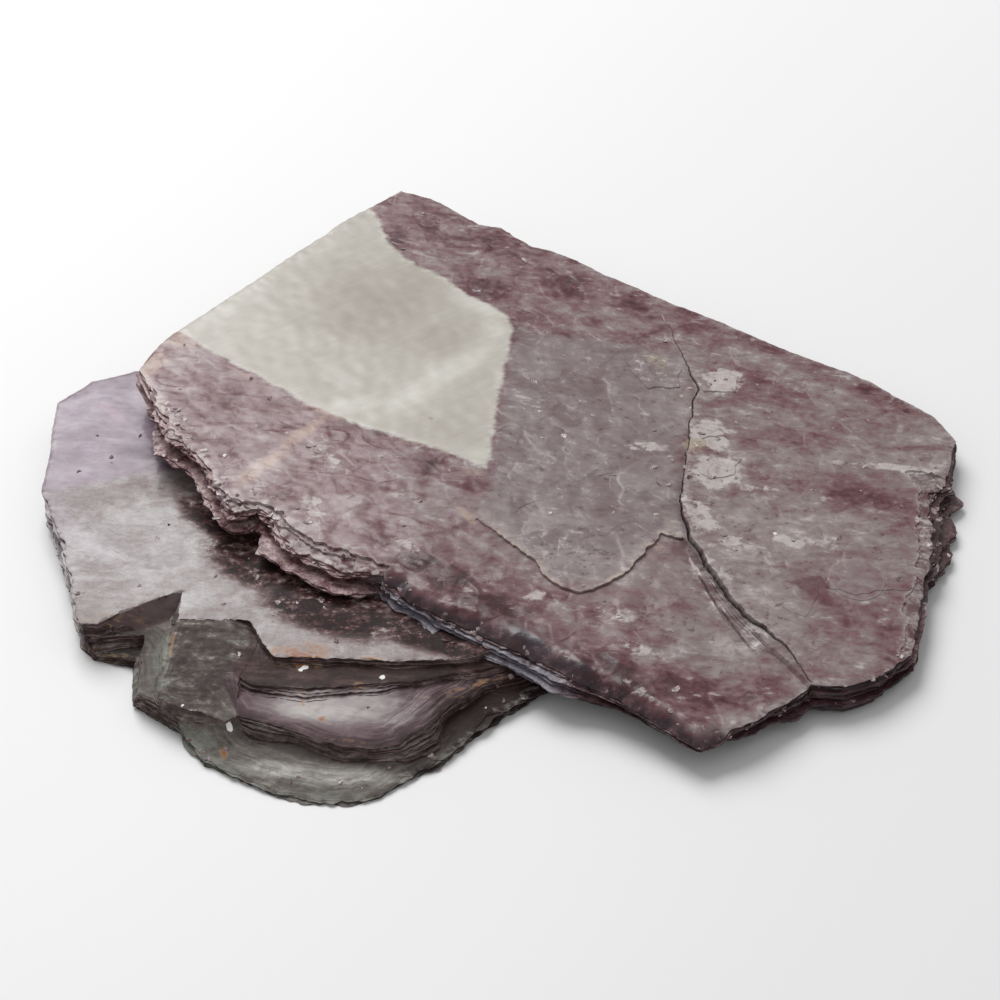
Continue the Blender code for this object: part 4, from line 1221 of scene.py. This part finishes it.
    leafy = recipe.grain((7.0, 4.5, 4.0), 9.4, 1.0, 0.45) * 1.6
    part = recipe.node("ShaderNodeMath", {"operation": "FRACT"}, {0: leafy})
    whole = recipe.node("ShaderNodeMath", {"operation": "FLOOR"}, {0: leafy})
    terraces = whole + recipe.smooth(part, 0.8, 1.0)
    calm = 1.0 - inCream * 0.88
    relief = recipe.grain((3.0, 1.9, 2.0), 7.7, 1.0, 0.5) * 0.06 + recipe.grain((1.0, 0.7, 0.8), 2.9, 0.0) * 0.012
    height = relief + small * 0.003 + bigFlake * 0.06 + smallFlake * 0.014
    height = (height + terraces * 0.03 + paleShare * (0.03 + smallFlake * 0.04 + small * 0.008)) * calm
    height = height + onEdge * (lines * 0.09 + small * 0.05)
    roughness = 0.33 + (middle * 0.08 + bigFlake * 0.10) * calm + paleShare * 0.2 + onEdge * 0.10
    coat = recipe.smooth((large + middle * 0.5 + bigFlake * 0.6) * calm, -0.3, 0.6) * 0.4
    return recipe.finish(colour, roughness, height, coat, micaGloss)


lowerTones = {
    "sheet": [
        (0.0, tone(40, 24, 24)), (0.14, tone(64, 38, 38)), (0.28, tone(84, 56, 55)), (0.44, tone(110, 86, 85)), (0.62, tone(140, 129, 128)),
        (0.8, tone(168, 162, 163)), (1.0, tone(199, 196, 195)),
    ],
    "lilac": [
        (0.0, tone(80, 63, 75)), (0.3, tone(129, 111, 125)), (0.6, tone(166, 150, 163)), (0.8, tone(186, 171, 181)),
        (1.0, tone(208, 196, 203)),
    ],
    "block": [(0.0, tone(55, 47, 46)), (0.35, tone(81, 72, 69)), (0.6, tone(104, 97, 93)), (0.8, tone(132, 127, 121)), (1.0, tone(175, 172, 164))],
    "step": [(0.0, tone(49, 39, 38)), (0.35, tone(67, 52, 50)), (0.6, tone(89, 70, 68)), (0.8, tone(122, 105, 104)), (1.0, tone(168, 155, 153))],
    "terrace": [(0.0, tone(50, 41, 41)), (0.3, tone(85, 67, 70)), (0.5, tone(120, 103, 107)), (0.7, tone(154, 144, 144)), (1.0, tone(187, 182, 178))],
    "foot": [(0.0, tone(53, 47, 45)), (0.3, tone(78, 71, 68)), (0.55, tone(110, 104, 99)), (0.75, tone(140, 136, 130)), (1.0, tone(180, 177, 170))],
    "wall": [(0.0, tone(41, 30, 30)), (0.35, tone(73, 54, 55)), (0.58, tone(117, 97, 97)), (0.8, tone(162, 147, 146)), (1.0, tone(205, 196, 191))],
    # the darkest brown below is painted shade, and the two brightest whites are painted glints
    "deep": tone(46, 28, 27), "slant": tone(96, 77, 79), "pink": tone(176, 148, 162), "rust": tone(142, 86, 46), "ochre": tone(192, 158, 118), "gold": tone(150, 126, 96),
    "speck": tone(178, 170, 166), "green": tone(128, 132, 122), "glint": tone(240, 236, 232), "sparkHighlight": tone(255, 253, 250),
}


def lowerMaterial():
    recipe = Recipe("silver_mica")
    tones = lowerTones
    x, y, z = recipe.axis("X"), recipe.axis("Y"), recipe.axis("Z")
    large = recipe.grain((8.0, 6.0, 6.0), 2.4, 3.0, 0.6, 0.4)
    middle = recipe.grain((2.6, 1.6, 2.0), 6.6, 3.0, 0.66, 0.5)
    small = recipe.grain((0.8, 0.6, 0.6), 3.7, 2.0, 0.68)
    fine = recipe.grain((0.26, 0.24, 0.25), 3.9, 1.0, 0.6)
    streak = recipe.grain((3.6, 0.8, 0.9), 1.3, 2.0, 0.6, 0.0, -6.0)
    scratch = recipe.grain((3.2, 0.25, 0.5), 4.4, 2.0, 0.5, 0.2, -40.0)
    bigFlake = recipe.flakes(2.4, 1.4, 0.53)
    smallFlake = recipe.flakes(0.9, 0.5, 0.19)

    # Painted shade: the sheet is darkened and browned where the upper book shades it; the same places are also made
    # rougher, less glossy and speckled
    shade = recipe.layer("shade")
    rough = recipe.smooth(shade + large * 0.2, 0.1, 0.7)
    mottle = large * 0.10 + middle * 0.11 + small * 0.08 + streak * 0.05 + bigFlake * 0.06 + fine * 0.05
    broken = middle * 0.46 + small * 0.32 + smallFlake * 0.16 + fine * 0.08
    sheet = 0.63 + recipe.layer("silver") * 0.08 + mottle * 1.2 - rough * (0.53 - broken)
    silver = recipe.graded(sheet, tones["sheet"])
    scratched = recipe.smooth(scratch, 0.42, 0.6) * recipe.smooth(y, -4.0, -9.0) * recipe.smooth(x, -34.0, -39.0)
    silver = recipe.blend(scratched * 0.5, silver, tones["sheet"][2][1])
    lilacField = 0.46 + large * 0.12 + middle * 0.12 + streak * 0.06 + small * 0.04 - recipe.layer("purple") * 0.62
    lilac = recipe.graded(lilacField, tones["lilac"])
    lilac = recipe.blend(recipe.smooth(recipe.layer("pink") + middle * 0.3, 0.4, 0.9) * 0.6, lilac, tones["pink"])
    inLilac = recipe.smooth(recipe.layer("lilacGap") + middle * 0.5 + small * 0.2, -0.5, 0.8)
    tint = recipe.smooth(recipe.layer("lilac") + large * 0.3 + middle * 0.2, 0.2, 0.9)
    colour = recipe.blend(inLilac * 0.92, silver, lilac)
    colour = recipe.blend((1.0 - inLilac) * tint * 0.5, colour, lilac)
    specks = recipe.smooth(small + fine * 0.3 + smallFlake * 0.5 + streak * 0.4, 0.30, 0.85)
    # painted glints: tiny bright dots
    glintDots = recipe.dots(0.45, 0.10, 0.017)
    colour = recipe.blend(specks * rough * recipe.smooth(middle + large * 0.5, -0.35, 0.5) * 0.62, colour, tones["speck"])
    colour = recipe.blend(glintDots * 0.10, colour, tones["speck"])
    wisps = recipe.threads((3.4, 2.2, 2.0), 8.8, 0.07) * recipe.smooth(middle + small * 0.4, -0.3, 0.5)
    colour = recipe.blend(wisps * (0.12 + rough * 0.06), colour, tones["speck"])

    offSheet = recipe.smooth(recipe.layer("sheetGap"), 0.0, -0.04)
    terraceGap, rimGap = recipe.layer("terraceGap"), recipe.layer("rimGap")
    nested = recipe.leafLines(terraceGap + middle * 0.10, 2.6, 3.0)
    toeLines = recipe.leafLines(rimGap + middle * 0.12, 2.4, 6.0)
    silverHere = recipe.layer("silver")
    toEdge = recipe.smooth(terraceGap, 2.4, 0.2)
    lamellae = recipe.smooth(x, -13.0, -9.0) + toEdge * 0.6
    terrace = 0.44 + silverHere * 0.42 - toEdge * 0.16 + nested * (0.06 + lamellae * 0.34) + middle * 0.15
    terrace = terrace - recipe.smooth(x, -12.0, -8.0) * 0.08
    terrace = terrace + small * 0.06 + streak * 0.08 + bigFlake * 0.08
    # the foot is darkened by the painted shade under the upper book and in the notch
    foot = 0.53 + silverHere * 0.38 + toeLines * 0.22 + middle * 0.14 + small * 0.12 - recipe.layer("deep") * 0.58
    lower = recipe.blend(
        recipe.smooth(terraceGap, -0.05, 0.0), recipe.graded(foot, tones["foot"]), recipe.graded(terrace, tones["terrace"])
    )
    stepField = 0.34 + streak * 0.36 + middle * 0.38 + small * 0.20 + large * 0.08 + silverHere * 0.2
    inStep = recipe.smooth(recipe.layer("stepGap") + small * 0.1, -0.3, -0.1)
    lower = recipe.blend(inStep, lower, recipe.graded(stepField, tones["step"]))
    blockField = 0.47 + streak * 0.26 + middle * 0.50 + small * 0.34 + large * 0.24 + recipe.layer("green") * 0.3
    blockField = blockField - recipe.layer("deep") * 0.4
    edgeLines = recipe.leafLines(recipe.layer("blockGap"), 2.4, 12.0)
    beside = recipe.smooth(recipe.layer("blockGap"), 1.9, 0.6) * recipe.smooth(x, -28.6, -30.0)
    blockField = blockField + specks * 0.12 + glintDots * 0.2 + edgeLines * beside * 0.4
    inBlock = recipe.smooth(recipe.layer("blockGap"), -0.06, 0.0)
    flank = recipe.smooth(recipe.layer("flankGap") + middle * 1.0 + small * 0.4, 0.4, 2.4)
    lower = recipe.blend(inBlock * flank, lower, recipe.graded(blockField, tones["block"]))
    onSlant = recipe.smooth(recipe.layer("slantGap"), 0.0, 0.05)
    lower = recipe.blend(onSlant * (0.85 + streak * 0.15), lower, tones["slant"])
    # painted shade: the darkest brown laid into the notch and under the upper book
    dark = recipe.smooth(recipe.layer("deep") + middle * 0.4 + small * 0.3, 0.6, 1.2)
    lower = recipe.blend(dark * 0.8, lower, tones["deep"])
    colour = recipe.blend(offSheet, colour, lower)
    rust = recipe.smooth(recipe.layer("rust") * (0.8 + middle * 0.8 + small * 0.7 + smallFlake * 0.6), 0.25, 1.1)
    colour = recipe.blend(rust * 0.85, colour, recipe.blend(rust, tones["ochre"], tones["rust"]))
    gold = recipe.smooth(streak + small * 0.6, 0.15, 0.5) * recipe.layer("gold")
    colour = recipe.blend(gold * 0.8, colour, tones["gold"])
    paleRim = recipe.smooth(rimGap, 0.8, 0.1) * recipe.smooth(middle + small * 0.5, -0.1, 0.5)
    colour = recipe.blend(paleRim * 0.4, colour, tones["foot"][4][1])

    level = recipe.smooth(recipe.levelness(), 0.4, 0.8)
    lines = recipe.leafLines(z + middle * 0.06, 6.5, 9.0)
    wall = recipe.graded(0.42 + lines * 0.56 + small * 0.16 + middle * 0.34, tones["wall"])
    # painted glints on the leaf edges
    glints = recipe.smooth(fine + small * 0.4, 0.95, 1.15)
    wall = recipe.blend(glints * 0.8, wall, tones["glint"])
    colour = recipe.blend(1.0 - level, colour, wall)
    ribs = recipe.smooth(recipe.layer("green") + small * 0.4 + middle * 0.2, 0.35, 0.9)
    colour = recipe.blend(ribs * offSheet * (0.65 - level * 0.15), colour, tones["green"])
    # painted highlights: small bright glints
    sparkle = recipe.smooth(recipe.layer("sparkle") + small * 0.15, 0.35, 0.6)
    colour = recipe.blend(sparkle * 0.95, colour, tones["sparkHighlight"])

    leafy = recipe.grain((8.0, 4.0, 4.0), 2.6, 1.0, 0.45) * 1.6
    part = recipe.node("ShaderNodeMath", {"operation": "FRACT"}, {0: leafy})
    whole = recipe.node("ShaderNodeMath", {"operation": "FLOOR"}, {0: leafy})
    terraces = whole + recipe.smooth(part, 0.8, 1.0)
    rugged = 0.35 + rough * 0.7 + offSheet * 0.4
    relief = recipe.grain((3.0, 1.7, 2.0), 6.6, 1.0, 0.5) * 0.06 + recipe.grain((1.0, 0.6, 0.7), 3.7, 0.0) * 0.016
    height = relief + small * 0.006 + bigFlake * 0.05 + smallFlake * 0.016
    height = (height + terraces * 0.02) * rugged + offSheet * (1.0 - inBlock) * (nested * 0.03 + toeLines * 0.03)
    height = height + (1.0 - level) * (lines * 0.10 + small * 0.04)
    dull = offSheet * (1.0 - silverHere * 0.8)
    roughness = 0.34 + middle * 0.07 + bigFlake * 0.08 + dull * 0.30 + rough * 0.40
    coat = (0.25 + recipe.smooth(large + middle * 0.5, -0.2, 0.6) * 0.35) * (1.0 - dull) * (1.0 - rough * 0.8)
    return recipe.finish(colour, roughness, height, coat, dullGloss)


# Crumbs: thin broken flakes scattered where the leaves have come apart

crumbFacts = {"density": 1.0, "smallest": 0.10, "largest": 0.60, "thickness": 0.10, "sides": 6, "tilt": 16.0}


def crumbTree():
    tree = bpy.data.node_groups.new("scattered_flakes", "GeometryNodeTree")
    tree.interface.new_socket("Geometry", in_out="INPUT", socket_type="NodeSocketGeometry")
    for name in ("Density", "Smallest", "Largest", "Thickness", "Tilt"):
        tree.interface.new_socket(name, in_out="INPUT", socket_type="NodeSocketFloat")
    tree.interface.new_socket("Seed", in_out="INPUT", socket_type="NodeSocketInt")
    tree.interface.new_socket("Material", in_out="INPUT", socket_type="NodeSocketMaterial")
    tree.interface.new_socket("Geometry", in_out="OUTPUT", socket_type="NodeSocketGeometry")

    def add(kind, settings=None, inputs=None):
        made = tree.nodes.new(kind)
        for name, value in (settings or {}).items():
            setattr(made, name, value)
        for key, value in (inputs or {}).items():
            if isinstance(value, bpy.types.NodeSocket):
                tree.links.new(value, made.inputs[key])
            else:
                made.inputs[key].default_value = value
        return made

    given = add("NodeGroupInput").outputs
    share = add("GeometryNodeInputNamedAttribute", {"data_type": "FLOAT"}, {"Name": "crumbs"})
    amount = add("ShaderNodeMath", {"operation": "MULTIPLY"}, {0: share.outputs[0], 1: given["Density"]})
    spread = add(
        "GeometryNodeDistributePointsOnFaces",
        {"distribute_method": "RANDOM"},
        {"Mesh": given["Geometry"], "Density": amount.outputs[0], "Seed": given["Seed"]},
    )
    plate = add(
        "GeometryNodeMeshCylinder",
        {"fill_type": "TRIANGLE_FAN"},
        {"Vertices": crumbFacts["sides"], "Radius": 1.0, "Depth": given["Thickness"]},
    )
    tilt = add("FunctionNodeRandomValue", {"data_type": "FLOAT_VECTOR"}, {"Seed": given["Seed"]})
    tilt.inputs[0].default_value = (-1.0, -1.0, -8.0)
    tilt.inputs[1].default_value = (1.0, 1.0, 8.0)
    turn = add("ShaderNodeVectorMath", {"operation": "SCALE"}, {0: tilt.outputs[0], "Scale": given["Tilt"]})
    lay = add("FunctionNodeRotateRotation", {"rotation_space": "LOCAL"}, {0: spread.outputs["Rotation"]})
    euler = add("FunctionNodeEulerToRotation", {}, {0: turn.outputs[0]})
    tree.links.new(euler.outputs[0], lay.inputs[1])
    size = add("FunctionNodeRandomValue", {"data_type": "FLOAT"}, {"Seed": given["Seed"]})
    tree.links.new(given["Smallest"], size.inputs[2])
    tree.links.new(given["Largest"], size.inputs[3])
    stretch = add("FunctionNodeRandomValue", {"data_type": "FLOAT_VECTOR"}, {"Seed": 3})
    stretch.inputs[0].default_value = (0.5, 0.35, 0.6)
    stretch.inputs[1].default_value = (1.0, 0.8, 1.4)
    scale = add("ShaderNodeVectorMath", {"operation": "SCALE"}, {0: stretch.outputs[0], "Scale": size.outputs[1]})
    placed = add(
        "GeometryNodeInstanceOnPoints",
        {},
        {"Points": spread.outputs["Points"], "Instance": plate.outputs["Mesh"], "Rotation": lay.outputs[0]},
    )
    tree.links.new(scale.outputs[0], placed.inputs["Scale"])
    real = add("GeometryNodeRealizeInstances", {}, {0: placed.outputs[0]})
    where = add("GeometryNodeInputPosition")
    noisy = add("ShaderNodeTexNoise", {}, {"Vector": where.outputs[0], "Scale": 2600.0, "Detail": 1.0})
    centred = add("ShaderNodeVectorMath", {"operation": "SUBTRACT"}, {0: noisy.outputs["Color"], 1: (0.5, 0.5, 0.5)})
    shift = add("ShaderNodeVectorMath", {"operation": "MULTIPLY"}, {0: centred.outputs[0], 1: (0.0004, 0.0004, 0.0001)})
    moved = add("GeometryNodeSetPosition", {}, {"Geometry": real.outputs[0], "Offset": shift.outputs[0]})
    dressed = add("GeometryNodeSetMaterial", {}, {"Geometry": moved.outputs[0], "Material": given["Material"]})
    add("NodeGroupOutput", {}, {0: dressed.outputs[0]})
    return tree


def scatter(piece, name, tree, density, seed, material):
    modifier = piece.modifiers.new("flakes", "NODES")
    modifier.node_group = tree
    values = {
        "Density": density * crumbFacts["density"] / (mm * mm),
        "Smallest": crumbFacts["smallest"] * mm,
        "Largest": crumbFacts["largest"] * mm,
        "Thickness": crumbFacts["thickness"],
        "Tilt": math.radians(crumbFacts["tilt"]),
        "Seed": seed,
        "Material": material,
    }
    for item in tree.interface.items_tree:
        if item.in_out == "INPUT" and item.name in values:
            modifier[item.identifier] = values[item.name]
    finished = piece.evaluated_get(bpy.context.evaluated_depsgraph_get())
    mesh = bpy.data.meshes.new_from_object(finished)
    piece.modifiers.remove(modifier)
    mesh.name = name
    corners = np.empty(3 * len(mesh.vertices), np.float32)
    mesh.vertices.foreach_get("co", corners)
    mesh.vertices.foreach_set("co", inBox(corners.reshape(-1, 3)).ravel().astype(np.float32))
    made = bpy.data.objects.new(name, mesh)
    bpy.context.scene.collection.objects.link(made)
    print(name, len(mesh.polygons), "faces")
    return made


crumbTones = [
    (0.0, tone(60, 36, 40)), (0.25, tone(108, 80, 84)), (0.5, tone(150, 132, 132)), (0.75, tone(186, 174, 171)),
    (1.0, tone(222, 214, 208)),
]


def crumbMaterial(name, lift):
    recipe = Recipe(name)
    middle = recipe.grain((2.0, 2.0, 2.0), 4.3, 2.0, 0.6)
    small = recipe.grain((0.5, 0.5, 0.5), 6.1, 2.0, 0.6)
    colour = recipe.graded(lift + middle * 0.35 + small * 0.35, crumbTones)
    height = small * 0.03
    roughness = 0.24 + middle * 0.05
    coat = recipe.smooth(small, -0.2, 0.4) * 0.5
    return recipe.finish(colour, roughness, height, coat, micaGloss)


flakeTree = crumbTree()
upperPaint, lowerPaint = upperMaterial(), lowerMaterial()
upperCrumbs = scatter(upperPiece, "upper_crumbs", flakeTree, 1.0, 4, crumbMaterial("purple_crumbs", 0.50))
lowerCrumbs = scatter(lowerPiece, "lower_crumbs", flakeTree, 0.5, 9, crumbMaterial("grey_crumbs", 0.28))
upperPiece.data.materials.append(upperPaint)
lowerPiece.data.materials.append(lowerPaint)
for piece in (upperPiece, lowerPiece, upperCrumbs, lowerCrumbs):
    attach(piece, "root")
    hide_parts("mica_crystal")
print("materials done")


def addFloor():
    mesh = bpy.data.meshes.new("floor")
    half = 1.2
    mesh.from_pydata([(-half, -half, 0), (half, -half, 0), (half, half, 0), (-half, half, 0)], [], [(0, 1, 2, 3)])
    floor = bpy.data.objects.new("floor", mesh)
    bpy.context.scene.collection.objects.link(floor)
    material = bpy.data.materials.new("floor")
    material.use_nodes = True
    material.node_tree.nodes["Principled BSDF"].inputs["Base Color"].default_value = (0.9, 0.9, 0.9, 1)
    mesh.materials.append(material)


def addLight(name, place, size, power):
    data = bpy.data.lights.new(name, "AREA")
    data.shape = "DISK"
    data.size = size
    data.energy = power
    lamp = bpy.data.objects.new(name, data)
    lamp.location = place
    lamp.rotation_euler = (-Vector(place)).to_track_quat("-Z", "Y").to_euler()
    bpy.context.scene.collection.objects.link(lamp)


addFloor()
addLight("softbox", (-0.20, 0.38, 0.50), 0.5, 3.4)
world = bpy.data.worlds.new("world")
bpy.context.scene.world = world
world.use_nodes = True
world.node_tree.nodes["Background"].inputs[0].default_value = (1, 1, 1, 1)
world.node_tree.nodes["Background"].inputs[1].default_value = 0.42
